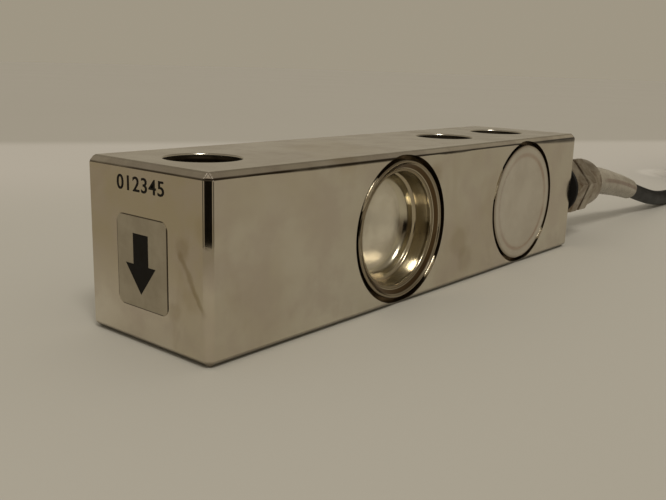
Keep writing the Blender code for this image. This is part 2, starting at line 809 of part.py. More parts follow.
# Each point of the droop: how far past the nut, and how far below the port's axis
DROOP = [
    (0.0064, 0.0003),
    (0.0128, 0.00112),
    (0.0195, 0.0023),
    (0.0265, 0.0036),
    (0.0345, 0.0053),
    (0.0425, 0.0072),
    (0.0510, 0.0092),
    (0.0595, 0.0110),
    (0.0680, 0.01225),
    (0.0765, 0.01282),
]
droop = [(NUT_END + along, PORT_Y, MID_HEIGHT - fall) for along, fall in DROOP]
on_table = [
    (NUT_END + 0.087, PORT_Y - 0.0008, floor_z),
    (NUT_END + 0.105, PORT_Y - 0.0045, floor_z),
    (NUT_END + 0.128, PORT_Y - 0.0115, floor_z),
    (NUT_END + 0.148, OUTER_TURN_Y + 0.0006, floor_z),
    (HANK_LEFT - 0.015, OUTER_TURN_Y, floor_z),
]
lead = smooth_route(straight_in + droop + on_table, CABLE_POINT_SPACING)
tube("cable_lead", lead, CABLE_RADIUS, CABLE_JACKET, 4)

# The sleeve follows the same points as the cable inside it
sleeve_points = [point for point in lead if NUT_END < point.x < NUT_END + SLEEVE_LENGTH]
first = Vector((NUT_END + GAP, PORT_Y, MID_HEIGHT))
sleeve_points = [first] + [point for point in sleeve_points if point.x > first.x + CABLE_RADIUS]
tip_radius = CABLE_BORE + SLEEVE_TIP_WALL
root_radius = CABLE_BORE + SLEEVE_ROOT_WALL
taper = []
for point in sleeve_points:
    share = (point.x - NUT_END) / SLEEVE_LENGTH
    taper.append((root_radius + (tip_radius - root_radius) * share) / root_radius)
sleeve = as_mesh(tube("strain_sleeve", sleeve_points, root_radius, SLEEVE_RUBBER, 6, taper))
stem = rod(
    "sleeve_stem",
    STEM_RADIUS,
    (STEM_START, PORT_Y, MID_HEIGHT),
    (NUT_END + 2 * GAP, PORT_Y, MID_HEIGHT),
    "rear",
    sides=24,
)
boolean(sleeve, stem, "UNION")
bore_start = STEM_START - 2 * CABLE_POINT_SPACING
bore_end = NUT_END + SLEEVE_LENGTH + 2 * CABLE_POINT_SPACING
bore_points = [point for point in lead if bore_start < point.x < bore_end]
bore = as_mesh(tube("sleeve_bore", bore_points, CABLE_BORE, None, 4))
boolean(sleeve, bore)

# Conductors from the end of the jacket, inside the port, to the board
WIRES_END = WIRING_X + BOARD_LENGTH / 2 - 0.0035
tube(
    "cable_wires",
    smooth_route(
        [
            (CABLE_START - GAP, PORT_Y, MID_HEIGHT),
            (REAR - PORT_DEPTH - PORT_CONE, PORT_Y, MID_HEIGHT),
            (WIRING_X + POCKET_RADIUS, PORT_Y, MID_HEIGHT),
            (WIRING_X + POCKET_RADIUS - 0.0025, OVER_BOARD + 0.0004, MID_HEIGHT),
            (WIRES_END, OVER_BOARD, MID_HEIGHT),
        ],
        0.002,
    ),
    WIRES_RADIUS,
    TINNED,
)


# Hank: two turns across and five layers high, drawn in at the tie

HANK_MIDDLE = HANK_LEFT + HANK_STRAIGHT / 2


def hank_side(along, fold, waist):
    """Distance of a turn from the hank's middle line, at a share of its straight run."""
    return waist + (fold - waist) * (1 + math.cos(2 * math.pi * along)) / 2


outline = []
for i in range(13):
    t = i / 12
    side_y = hank_side(t, HANK_TURN_RADIUS, HANK_WAIST + CABLE_RADIUS)
    outline.append((HANK_LEFT + HANK_STRAIGHT * t, HANK_Y - side_y))
fold_centre = (HANK_LEFT + HANK_STRAIGHT, HANK_Y)
outline += arc(fold_centre, HANK_TURN_RADIUS, -90, 90, 12)[1:-1]
for i in range(13):
    t = 1 - i / 12
    side_y = hank_side(t, HANK_TURN_RADIUS, HANK_WAIST + CABLE_RADIUS)
    outline.append((HANK_LEFT + HANK_STRAIGHT * t, HANK_Y + side_y))
outline += arc((HANK_LEFT, HANK_Y), HANK_TURN_RADIUS, 90, 270, 12)[1:-1]
hank = as_mesh(plate("cable_hank", [outline], HANK_HEIGHT, CABLE_JACKET, (0, 0, HANK_HEIGHT / 2)))

tie_way = block(
    "tie_way",
    (TIE_WIDTH + 2 * GAP, 4 * HANK_TURN_RADIUS, 2 * (TIE_THICKNESS + GAP)),
    None,
    (HANK_MIDDLE, HANK_Y, 0),
)
boolean(hank, tie_way)

TAIL_Z = HANK_HEIGHT + GAP + CABLE_RADIUS
waist_reach = hank_side(0.5 + TIE_WIDTH / HANK_STRAIGHT, HANK_TURN_RADIUS, HANK_WAIST + CABLE_RADIUS)
tie_inner_width = 2 * (waist_reach + GAP)
tie_inner_height = TAIL_Z + CABLE_RADIUS + GAP - TIE_THICKNESS
tie_outer = rounded_rectangle(
    tie_inner_height + 2 * TIE_THICKNESS, tie_inner_width + 2 * TIE_THICKNESS, TIE_CORNER + TIE_THICKNESS
)
tie_inner = rounded_rectangle(tie_inner_height, tie_inner_width, TIE_CORNER)
plate(
    "hank_tie",
    [tie_outer, tie_inner],
    TIE_WIDTH,
    BLACK_RUBBER,
    (HANK_MIDDLE, HANK_Y, tie_inner_height / 2 + TIE_THICKNESS),
    "rear",
)

# The last stretch lies on the hank, under the tie, and its conductors rest on the far fold
TAIL_WAIST = TAIL_FOLD_RADIUS - HANK_FOLD_RADIUS + HANK_WAIST
tail_route = []
for i in range(5):
    angle = math.radians(180 + 90 * i / 4)
    x = HANK_LEFT + TAIL_FOLD_RADIUS * math.cos(angle)
    tail_route.append((x, HANK_Y + TAIL_FOLD_RADIUS * math.sin(angle), TAIL_Z))
for i in range(1, 5):
    t = i / 8
    y = HANK_Y - hank_side(t, TAIL_FOLD_RADIUS, TAIL_WAIST)
    tail_route.append((HANK_LEFT + HANK_STRAIGHT * t, y, TAIL_Z))
TAIL_END = HANK_MIDDLE + TAIL_PAST_TIE
BOOT_Z = HANK_HEIGHT + GAP + CABLE_BORE + BOOT_WALL
for x, z in ((TIE_WIDTH, TAIL_Z), (TAIL_PAST_TIE - BOOT_LENGTH, BOOT_Z), (TAIL_PAST_TIE, BOOT_Z)):
    tail_route.append((HANK_MIDDLE + x, HANK_Y - TAIL_WAIST, z))
tube("cable_tail", smooth_route(tail_route, CABLE_POINT_SPACING), CABLE_RADIUS, CABLE_JACKET, 4)

boot_profile = [
    (CABLE_BORE + BOOT_WALL, TAIL_END + GAP),
    (CABLE_BORE + BOOT_WALL, TAIL_END - BOOT_LENGTH),
    (CABLE_BORE, TAIL_END - BOOT_LENGTH),
    (CABLE_BORE, TAIL_END + GAP),
]
turned(
    "jacket_boot",
    boot_profile,
    BLACK_RUBBER,
    (0, HANK_Y - TAIL_WAIST, BOOT_Z),
    "rear",
    20,
    closed=True,
)


def conductor(name, look, radius, across, up, length, spread):
    """A bared core from the jacket's end down to the top of the hank's far fold."""
    y = HANK_Y - TAIL_WAIST + across
    end_z = HANK_HEIGHT + GAP + radius
    start_z = BOOT_Z + up
    route = [
        (TAIL_END + 2 * GAP, y, start_z),
        (TAIL_END + 0.14 * length, y + 0.1 * spread, start_z),
        (TAIL_END + 0.36 * length, y + 0.4 * spread, (start_z + end_z) / 2),
        (TAIL_END + 0.57 * length, y + 0.8 * spread, end_z),
        (TAIL_END + length, y + 1.2 * spread, end_z),
    ]
    tube(name, smooth_route(route, CONDUCTOR_SPACING), radius, look)


# Each core: its colour, which way it leaves the jacket, how much shorter it is, how far it fans out
CORES = {
    "red": (-1, 1, 0, -0.0045),
    "black": (-1, -1, 0.0010, -0.0016),
    "green": (1, -1, 0, 0.0018),
    "white": (1, 1, 0.0005, 0.0052),
}
for name, (across, up, shorter, spread) in CORES.items():
    conductor(
        f"conductor_{name}",
        WIRE_COLOURS[name],
        CONDUCTOR_RADIUS,
        across * CORE_OFFSET,
        up * CORE_OFFSET,
        CONDUCTOR_LENGTH - shorter,
        spread,
    )
drain_across = 2 * CORE_OFFSET + CONDUCTOR_RADIUS
conductor("drain_wire", TINNED, DRAIN_RADIUS, drain_across, 0, CONDUCTOR_LENGTH - 0.0020, DRAIN_SPREAD)
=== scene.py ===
"""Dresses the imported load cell: finer metal pieces, the whole cable, materials, light and camera.

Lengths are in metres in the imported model's frame: the origin is under the middle of the beam, +X
points to the cable end and the side with the wiring cover faces -Y.
"""

import math

import bmesh
import bpy
from mathutils import Matrix, Vector


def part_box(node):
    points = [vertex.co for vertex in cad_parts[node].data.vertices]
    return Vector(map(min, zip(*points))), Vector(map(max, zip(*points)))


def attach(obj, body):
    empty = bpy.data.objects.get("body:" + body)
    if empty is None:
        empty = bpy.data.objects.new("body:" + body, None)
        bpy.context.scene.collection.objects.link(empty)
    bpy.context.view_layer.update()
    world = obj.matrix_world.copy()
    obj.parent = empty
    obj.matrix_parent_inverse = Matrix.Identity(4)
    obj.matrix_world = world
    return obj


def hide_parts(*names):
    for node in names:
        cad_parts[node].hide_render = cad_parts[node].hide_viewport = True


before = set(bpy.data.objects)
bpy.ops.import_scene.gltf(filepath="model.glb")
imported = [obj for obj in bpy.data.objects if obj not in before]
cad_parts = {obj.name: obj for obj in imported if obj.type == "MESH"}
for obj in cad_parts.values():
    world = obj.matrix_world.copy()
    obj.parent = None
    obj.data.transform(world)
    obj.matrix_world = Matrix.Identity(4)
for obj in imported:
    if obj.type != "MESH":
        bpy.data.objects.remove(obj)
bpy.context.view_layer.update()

scene = bpy.context.scene
scene.view_settings.view_transform = "Standard"

# Sizes of the beam, repeated from the part's source
BODY_LENGTH, BODY_WIDTH, BODY_HEIGHT = 0.130, 0.03175, 0.031
BODY_CHAMFER = 0.00105
HOLE_RADIUS, HOLE_BREAK = 0.00675, 0.0004
LOAD_X, GAUGE_X, WIRING_X = -0.0523, -0.0142, 0.0366
MOUNT_X = (0.0239, 0.0493)
MID_HEIGHT = BODY_HEIGHT / 2
NEAR, FAR = -BODY_WIDTH / 2, BODY_WIDTH / 2
FRONT, REAR = -BODY_LENGTH / 2, BODY_LENGTH / 2
LEDGE_RADIUS, GROOVE_WIDTH, GROOVE_DEPTH = 0.0140, 0.00095, 0.0016
LEDGE_DEPTH, POCKET_RADIUS, POCKET_FILLET = 0.0009, 0.0133, 0.0015
GAUGE_POCKET_DEPTH, WIRING_POCKET_DEPTH = 0.0124, 0.007425
PORT_Y = -0.010
PORT_RADIUS, PORT_DEPTH, PORT_CONE, CHANNEL_RADIUS = 0.0041, 0.0075, 0.0018, 0.0016
SHEET = 0.0006

# Sizes of the gland, along its axis and across
GLAND_AXIS = (0, PORT_Y, MID_HEIGHT)
SHANK_START, NOSE_END = 0.05844, 0.07774
WASHER_START, WASHER_END, WASHER_RADIUS = 0.06512, 0.06612, 0.0074
FLANGE_START, FLANGE_END, NOTCH_X = 0.06624, 0.07154, 0.0717
NUT_START, NUT_HEX_END, NUT_BARREL_END, NUT_END = 0.07184, 0.0776, 0.0829, 0.08664
STEM_START = 0.08244
HEX_TURN = 20  # degrees that the hexagons are turned from a corner at the top
HEX_ACROSS_FLATS, HEX_CHAMFER = 0.01429, 0.0009
NUT_DOME_RADIUS, NUT_MOUTH_RADIUS = 0.0070, 0.0049
NOSE_RADIUS, SHANK_RADIUS, STEM_RADIUS = 0.0057, 0.00385, 0.00357
SLEEVE_LENGTH, SLEEVE_ROOT, SLEEVE_TIP = 0.0375, 0.00437, 0.00327

# Sizes of the cable and its hank
CABLE_RADIUS, CABLE_BORE, CABLE_LENGTH = 0.00255, 0.00277, 3.0
HANK_LEFT, HANK_Y, HANK_STRAIGHT, HANK_LAYERS = 0.2577, -0.007, 0.080, 5
HANK_MIDDLE = HANK_LEFT + HANK_STRAIGHT / 2
HANK_TOP = 0.0255 + 0.0003
OUTER_FOLD, OUTER_WAIST = 0.0204, 0.00785
INNER_FOLD, INNER_WAIST = 0.0153, 0.00275
TAIL_Y = HANK_Y - INNER_WAIST
TAIL_Z, BOOT_Z = HANK_TOP + CABLE_RADIUS, HANK_TOP + 0.00327
TAIL_END = HANK_MIDDLE + 0.034


def linked(name, data):
    made = bpy.data.objects.new(name, data)
    scene.collection.objects.link(made)
    return made


# Camera, from a fit of the beam's edges and holes in the photograph

CAMERA_PLACE = Vector((-0.142065, -0.105021, 0.047054))
RIGHT = Vector((0.647479, -0.761542, 0.028719))
DOWN = Vector((-0.154391, -0.167984, -0.973625))
AHEAD = Vector((0.746280, 0.625968, -0.226341))
camera_data = bpy.data.cameras.new("camera")
camera_data.sensor_width = 36
camera_data.lens = 42.956
camera_data.clip_start = 0.005
camera = linked("camera", camera_data)
camera_turn = Matrix((RIGHT, -DOWN, -AHEAD)).transposed().to_4x4()
camera.matrix_world = Matrix.Translation(CAMERA_PLACE) @ camera_turn
scene.camera = camera


# Node helpers


def colour(value):
    """An sRGB colour of 0 to 255 as linear numbers; a socket or four numbers pass through."""
    if hasattr(value, "is_output") or len(value) == 4:
        return value
    linear = []
    for channel in value:
        share = channel / 255
        linear.append(share / 12.92 if share <= 0.04045 else ((share + 0.055) / 1.055) ** 2.4)
    return (*linear, 1)


def darker(value, share):
    return tuple(channel * share for channel in value)


class Nodes:
    """Builds the nodes of a material or the world, mostly from its own coordinates."""

    def __init__(self, owner, space="Object"):
        owner.use_nodes = True
        self.owner, self.tree = owner, owner.node_tree
        self.place = self.make("ShaderNodeTexCoord").outputs[space]
        split = self.make("ShaderNodeSeparateXYZ")
        self.put(self.place, split.inputs[0])
        self.x, self.y, self.z = split.outputs

    def make(self, kind, **settings):
        node = self.tree.nodes.new(kind)
        for key, value in settings.items():
            setattr(node, key, value)
        return node

    def put(self, value, socket):
        if hasattr(value, "is_output"):
            self.tree.links.new(value, socket)
        else:
            socket.default_value = value

    def math(self, operation, a, b=0.0, kind="Math"):
        node = self.make(f"ShaderNode{kind}", operation=operation)
        self.put(a, node.inputs[0])
        self.put(b, node.inputs[1])
        return node.outputs["Value" if operation == "DISTANCE" else 0]

    def plus(self, a, b):
        return self.math("ADD", a, b)

    def minus(self, a, b):
        return self.math("SUBTRACT", a, b)

    def times(self, a, b):
        return self.math("MULTIPLY", a, b)

    def off(self, value, centre=0.0):
        """How far a value is from a centre, on either side."""
        return self.math("ABSOLUTE", self.minus(value, centre))

    def away(self, centre):
        return self.math("DISTANCE", self.place, centre, "VectorMath")

    def radius(self, centre_x):
        """Distance from the cross axis of a pocket."""
        across, up = self.minus(self.x, centre_x), self.minus(self.z, MID_HEIGHT)
        return self.math("SQRT", self.plus(self.times(across, across), self.times(up, up)))

    def waves(self, value, spacing):
        return self.math("SINE", self.times(value, 2 * math.pi / spacing))

    def noise(self, scale, detail=3.0, roughness=0.55, stretch=None, distortion=0.0):
        node = self.make("ShaderNodeTexNoise")
        place = self.place
        if stretch is not None:
            place = self.math("MULTIPLY", place, stretch, "VectorMath")
        keys = ("Vector", "Scale", "Detail", "Roughness", "Distortion")
        for key, value in zip(keys, (place, scale, detail, roughness, distortion)):
            self.put(value, node.inputs[key])
        return node.outputs["Fac"]

    def ramp(self, value, low, high, out_low=0.0, out_high=1.0, smooth=True):
        node = self.make("ShaderNodeMapRange", clamp=True)
        if smooth:
            node.interpolation_type = "SMOOTHSTEP"
        for socket, number in zip(node.inputs, (value, low, high, out_low, out_high)):
            self.put(number, socket)
        return node.outputs[0]

    def fall(self, value, low, high):
        return self.ramp(value, low, high, 1.0, 0.0)

    def band(self, value, start, full, fade, end):
        """0 to 1 and back to 0 as the value passes through a band."""
        return self.times(self.ramp(value, start, full), self.fall(value, fade, end))

    def vary(self, cloud, low, high):
        """A number that follows a noise from low to high."""
        return self.ramp(cloud, 0.3, 0.7, low, high)

    def mix(self, share, a, b):
        node = self.make("ShaderNodeMix", data_type="RGBA")
        self.put(share, node.inputs[0])
        self.put(colour(a), node.inputs[6])
        self.put(colour(b), node.inputs[7])
        return node.outputs[2]

    def mottle(self, cloud, one, other):
        """A colour that follows a noise from one to the other."""
        return self.mix(self.vary(cloud, 0.0, 1.0), one, other)

    def stain(self, base, mask, share, tint):
        """The base with a tint laid over it where the mask is, at the share's strength."""
        return self.mix(self.times(mask, share), base, tint)

    def blob(self, centre, radius, softness, wobble):
        """1 inside a soft ball round a point, with an uneven edge."""
        uneven = self.minus(self.noise(260), 0.5)
        away = self.plus(self.away(centre), self.times(uneven, wobble * radius))
        return self.fall(away, radius * (1 - softness), radius * (1 + softness))

    def bump(self, height, distance, strength, after=None):
        node = self.make("ShaderNodeBump")
        for key, value in zip(("Height", "Distance", "Strength"), (height, distance, strength)):
            self.put(value, node.inputs[key])
        if after is not None:
            self.put(after, node.inputs["Normal"])
        return node.outputs["Normal"]

    def finish(self, base, metallic, rough, normal=None, **others):
        others |= {"Base Color": colour(base), "Metallic": metallic, "Roughness": rough}
        if normal is not None:
            others["Normal"] = normal
        for key, value in others.items():
            self.put(value, self.tree.nodes["Principled BSDF"].inputs[key])
        return self.owner


def material(name):
    return Nodes(bpy.data.materials.new(name))


# Materials; their colours are sRGB

# Painted reflection: the same steel takes its own tone on the top, the side, the side's load end
# and foot, the load end and its foot, the upper chamfers and the upright corner, for what each of
# these reflects
TOP_TINT, SIDE_TINT = (210, 203, 189), (203, 196, 180)
SIDE_LOAD_TINT, SIDE_FOOT_TINT = (209, 202, 187), (215, 209, 194)
FRONT_TINT = (185, 173, 147)
FRONT_FOOT_TINTS = (220, 212, 194), (228, 221, 208)
CHAMFER_TINT = (236, 228, 212)
CORNER_TINTS = (214, 205, 188), (172, 162, 142)
BRIGHT_WELD = (205, 196, 176)

# Stains on the side, the load end and the top, and painted shade on one corner's bright facet:
# place, radius, share, colour
STAINS = (
    ((-0.0035, NEAR, 0.0255), 0.0024, 0.26, (142, 118, 78)),
    ((0.0075, NEAR, 0.0100), 0.0034, 0.26, (138, 116, 78)),
    ((0.0105, NEAR, 0.0055), 0.0028, 0.22, (136, 116, 80)),
    ((FRONT, -0.0097, 0.0184), 0.0016, 0.30, (140, 120, 78)),
    ((FRONT, -0.0120, 0.0108), 0.0020, 0.16, (150, 128, 84)),
    ((FRONT, -0.0152, 0.0224), 0.0020, 0.16, (150, 128, 84)),
    ((FRONT, -0.0077, 0.0079), 0.0016, 0.22, (140, 120, 80)),
    ((-0.0210, -0.0020, BODY_HEIGHT), 0.0085, 0.34, (172, 150, 92)),
    ((-0.0120, 0.0060, BODY_HEIGHT), 0.0050, 0.28, (172, 150, 92)),
    ((-0.0320, -0.0120, BODY_HEIGHT), 0.0050, 0.26, (172, 150, 92)),
    # Painted shade dulling the reflection on the small facet where three chamfers meet
    ((FRONT + 0.0004, NEAR + 0.0004, BODY_HEIGHT - 0.0004), 0.0008, 0.8, (112, 98, 76)),
)
RUN_Y, RUN_Z = -0.0092, 0.0178  # where the brown run beside the label starts
RUN_SIDEWAYS, RUN_DOWN = 0.532, 0.846  # its direction

# Places where the weld shows bright in its groove: x, z, radius
WELD_SPOTS = (
    (WIRING_X + 0.0111, MID_HEIGHT - 0.0093, 0.0016),
    (WIRING_X - 0.0131, MID_HEIGHT + 0.0062, 0.0030),
    (GAUGE_X + 0.0106, MID_HEIGHT - 0.0099, 0.0022),
    (GAUGE_X - 0.0120, MID_HEIGHT + 0.0082, 0.0020),
)


def beam_steel():
    """Bright plated steel, slightly wavy and finely scratched, with yellow-brown stains and with
    painted reflection and shade.
    """
    n = material("beam_steel")
    wide, cloud, fine = n.noise(38, 3, 0.6), n.noise(120, 4, 0.6), n.noise(900, 3, 0.6)
    chamfer_foot = BODY_HEIGHT - BODY_CHAMFER
    top = n.ramp(n.z, BODY_HEIGHT - 0.0003, BODY_HEIGHT - 0.0001)
    # Painted reflection: a tone for the top, the near side and the load end, lighter at the side's
    # foot and at the load end's foot
    side = n.mix(n.ramp(n.x, -0.045, -0.020), SIDE_LOAD_TINT, SIDE_TINT)
    side = n.mix(n.ramp(n.z, 0.001, 0.014), SIDE_FOOT_TINT, side)
    front = n.fall(n.x, FRONT + 0.0002, FRONT + 0.0006)
    front_foot = n.mix(n.ramp(n.y, -0.013, -0.003), *FRONT_FOOT_TINTS)
    base = n.mix(top, side, TOP_TINT)
    base = n.mix(front, base, n.mix(n.ramp(n.z, 0.004, 0.019), front_foot, FRONT_TINT))
    # The upright chamfer between the load end and the near side, painted darker towards its top as
    # the reflection of the camera's dark body, and the upper chamfers, painted in a paler tone of
    # their own as reflection
    corner = n.fall(n.off(n.plus(n.x, n.y), FRONT + NEAR + BODY_CHAMFER), 0.00015, 0.0003)
    corner = n.times(corner, n.fall(n.x, FRONT + 0.0011, FRONT + 0.0013))
    base = n.mix(corner, base, n.mix(n.ramp(n.z, 0.012, 0.018), *CORNER_TINTS))
    upper_edge = n.ramp(n.z, chamfer_foot, chamfer_foot + 0.0001)
    base = n.stain(base, upper_edge, n.minus(1.0, top), CHAMFER_TINT)
    # Clouds, painted shade that darkens the top towards its cable end, smears and stains
    base = n.stain(base, n.ramp(wide, 0.35, 0.7), 0.5, (186, 174, 152))
    base = n.stain(base, n.ramp(cloud, 0.4, 0.65), 0.5, (190, 178, 166))
    base = n.stain(base, top, n.ramp(n.x, -0.02, 0.062, 0.0, 0.55), (160, 149, 130))
    smear = n.ramp(n.noise(70, 5, 0.62, (1, 1, 0.45), 0.6), 0.56, 0.72)
    base = n.stain(base, smear, 0.18, (160, 142, 108))
    for centre, radius, share, tint in STAINS:
        base = n.stain(base, n.blob(centre, radius, 0.45, 1.1), share, tint)
    # A brown run down the load end beside the label
    run_y, run_z = n.minus(n.y, RUN_Y), n.minus(n.z, RUN_Z)
    along = n.minus(n.times(run_y, -RUN_SIDEWAYS), n.times(run_z, RUN_DOWN))
    aside = n.minus(n.times(run_z, RUN_SIDEWAYS), n.times(run_y, RUN_DOWN))
    aside = n.plus(aside, n.times(n.minus(n.noise(260), 0.5), 0.0016))
    run = n.times(n.fall(n.off(aside), 0.0001, 0.0008), front)
    run = n.times(run, n.band(along, -0.0008, 0.0006, 0.0090, 0.0115))
    base = n.stain(base, run, 0.42, (126, 106, 62))
    # A thin dark line under the upper chamfer
    line = n.fall(n.off(n.z, chamfer_foot), 0.00008, 0.00020)
    base = n.stain(base, line, n.ramp(n.noise(60, 2), 0.3, 0.5, 0.45, 0.9), (52, 42, 28))
    # On the near side it is wider in places, most at the cable end
    by_cups = n.plus(
        n.times(n.ramp(n.x, -0.060, -0.040), n.ramp(n.x, -0.018, -0.010, 0.00028, 0.0)),
        n.times(n.ramp(n.x, -0.004, 0.000), n.ramp(n.x, 0.006, 0.013, 0.00026, 0.0)),
    )
    width = n.plus(n.ramp(n.x, 0.026, 0.064, 0.0001, 0.0010), by_cups)
    wide_dark_line = n.fall(n.minus(chamfer_foot, n.z), n.times(width, 0.5), n.times(width, 1.3))
    wide_dark_line = n.times(wide_dark_line, n.fall(n.y, NEAR + 0.0001, NEAR + 0.0003))
    base = n.stain(base, wide_dark_line, n.ramp(cloud, 0.3, 0.6, 0.65, 0.92), (50, 40, 27))
    # Painted shade along the foot, as the contact shadow that the lower chamfer reflects
    base = n.mix(n.ramp(n.z, 0.0008, 0.0014, 0.6, 0.0), base, (84, 72, 52))
    rough = n.plus(n.ramp(cloud, 0.3, 0.75, 0.13, 0.21), n.times(smear, 0.07))
    rough = n.times(rough, n.ramp(corner, 0, 1, 1.0, 0.35))
    scratches = n.noise(420, 3, 0.7, (0.05, 1, 1))
    normal = n.bump(wide, 0.0004, 0.10)
    normal = n.bump(scratches, 0.00003, 0.10, normal)
    return n.finish(base, 1.0, rough, n.bump(fine, 0.00002, 0.12, normal))


def hole_metal():
    """A hole's bore painted dark as shade, with faint rings, under its bright rounded rim."""
    n = material("hole_metal")
    dark = n.mottle(n.noise(400, 4, 0.6), (58, 50, 38), (38, 32, 24))
    rim = n.ramp(n.off(n.z, MID_HEIGHT), MID_HEIGHT - 0.00046, MID_HEIGHT - 0.00036)
    base = n.mix(rim, dark, (205, 198, 184))
    rings = n.bump(n.waves(n.z, 0.0011), 0.00012, 0.5)
    return n.finish(base, 1.0, n.ramp(rim, 0, 1, 0.62, 0.2), rings)


def groove_metal():
    """The weld groove: rough metal burnt brown, with a few places where the weld shows bright."""
    n = material("groove_metal")
    cloud = n.noise(300, 4, 0.6)
    base = n.mix(n.ramp(cloud, 0.35, 0.7), (104, 86, 62), (62, 50, 34))
    for x, z, radius in WELD_SPOTS:
        base = n.stain(base, n.blob((x, NEAR, z), radius, 0.5, 0.9), 0.75, BRIGHT_WELD)
    return n.finish(base, 1.0, n.vary(cloud, 0.35, 0.5), n.bump(n.noise(1500), 0.00005, 0.3))


def cup_steel():
    """Bright drawn sheet: clear floor, walls toned olive, brown heat tint at the rolled lip, and a
    painted reflection on one wall.
    """
    n = material("cup_steel")
    floor_tint, wall_tint = (236, 229, 213), (204, 196, 174)
    cloud, fine = n.noise(160, 4, 0.6), n.noise(1300, 2, 0.5)
    radius = n.radius(GAUGE_X)
    depth = n.minus(FAR, n.off(n.y))
    base = n.mottle(cloud, floor_tint, darker(floor_tint, 0.95))
    base = n.mix(n.ramp(radius, 0.0091, 0.0097), base, wall_tint)
    # Painted reflection of the camera's dark body: a dark patch on the cable side's wall, a little
    # below the middle
    camera_reflection_patch = n.fall(n.off(n.z, MID_HEIGHT - 0.0022), 0.0008, 0.0040)
    camera_reflection_patch = n.times(camera_reflection_patch, n.ramp(n.minus(n.x, GAUGE_X), 0.0084, 0.0096))
    camera_reflection_patch = n.times(camera_reflection_patch, n.fall(radius, 0.0112, 0.0119))
    base = n.stain(base, camera_reflection_patch, 0.75, (86, 70, 56))
    # Outwards from there: the step, the seam under the lip, the lip, its slope and the bead
    base = n.mix(n.band(depth, 0.0047, 0.0050, 0.0053, 0.0056), base, (182, 170, 146))
    base = n.stain(base, n.band(depth, 0.00135, 0.0016, 0.0019, 0.0022), 0.7, (84, 68, 46))
    base = n.stain(base, n.band(radius, 0.01155, 0.0117, 0.01215, 0.0123), 0.8, (122, 106, 82))
    base = n.mix(n.band(radius, 0.01225, 0.0124, 0.0131, 0.0133), base, (92, 74, 52))
    base = n.mix(n.ramp(radius, 0.0131, 0.0134), base, (150, 138, 118))
    normal = n.bump(fine, 0.00002, 0.15, n.bump(cloud, 0.0002, 0.12))
    return n.finish(base, 1.0, n.vary(cloud, 0.15, 0.22), normal)


def cover_steel():
    """Turned cover with a brown heat tint in a ring near its welded edge."""
    n = material("cover_steel")
    cloud = n.noise(150, 4, 0.6)
    radius = n.radius(WIRING_X)
    base = n.mottle(cloud, (206, 199, 186), (196, 188, 175))
    ring = n.band(radius, 0.0108, 0.0115, 0.0118, 0.0124)
    base = n.stain(base, ring, n.ramp(n.noise(90, 3), 0.35, 0.65, 0.1, 0.5), (160, 126, 104))
    base = n.stain(base, n.ramp(radius, 0.0131, 0.0139), 0.5, (120, 98, 70))
    normal = n.bump(n.waves(radius, 0.00035), 0.000006, 0.10, n.bump(cloud, 0.0003, 0.10))
    return n.finish(base, 1.0, n.vary(cloud, 0.16, 0.24), normal)


def label_foil():
    """A dull silver foil with a dark edge painted as the shade at its rim."""
    n = material("label_foil")
    middle_y, middle_z, half_width, half_height = 0.00055, 0.0143, 0.00665, 0.00785
    cloud = n.noise(220, 4, 0.6)
    base = n.mottle(cloud, (162, 152, 132), (151, 141, 121))
    across = n.minus(n.off(n.y, middle_y), half_width)
    up = n.minus(n.off(n.z, middle_z), half_height)
    # Painted shade: a dark line round the foil's edge
    base = n.mix(n.ramp(n.math("MAXIMUM", across, up), -0.00022, -0.00008), base, (58, 48, 32))
    normal = n.bump(n.noise(700, 3), 0.00003, 0.25, n.bump(cloud, 0.0003, 0.15))
    return n.finish(base, 0.55, n.vary(cloud, 0.36, 0.5), normal)


def ink():
    n = material("arrow_ink")
    cloud = n.noise(500, 4, 0.6)
    base = n.mix(n.ramp(cloud, 0.3, 0.8), (14, 11, 8), (22, 18, 12))
    return n.finish(base, 0.0, n.vary(cloud, 0.5, 0.65), **{"Specular IOR Level": 0.12})


def gland_metal():
    """Nickel-plated brass, dulled by handling, with brown painted shade in the notch between its
    hexagons.
    """
    n = material("gland_metal")
    cloud = n.noise(260, 5, 0.62)
    base = n.mix(n.ramp(cloud, 0.35, 0.65), (176, 166, 150), (146, 134, 116))
    base = n.stain(base, n.ramp(n.noise(420, 4, 0.65), 0.50, 0.64), 0.6, (112, 90, 70))
    # Painted shade in the notch between the flange and the nut
    notch = n.fall(n.off(n.x, NOTCH_X), 0.0004, 0.0011)
    base = n.stain(base, notch, n.ramp(cloud, 0.3, 0.6, 0.4, 0.9), (58, 44, 32))
    normal = n.bump(n.noise(1100, 3), 0.00004, 0.3, n.bump(cloud, 0.0003, 0.2))
    return n.finish(base, 1.0, n.vary(cloud, 0.3, 0.44), normal)


def rubber(name, base, rough):
    n = material(name)
    cloud = n.noise(180, 4, 0.6)
    mixed = n.mottle(cloud, base, darker(base, 0.75))
    glossy = n.vary(cloud, rough - 0.05, rough + 0.06)
    grain = n.bump(n.noise(1600, 3, 0.6), 0.00003, 0.3)
    return n.finish(mixed, 0.0, glossy, grain, **{"Specular IOR Level": 0.2})


def plastic(name, base, other, rough, scale=300, metallic=0.0):
    n = material(name)
    cloud = n.noise(scale, 4, 0.6)
    glossy = n.vary(cloud, rough - 0.06, rough + 0.06)
    return n.finish(n.mottle(cloud, base, other), metallic, glossy, n.bump(cloud, 0.0001, 0.2))


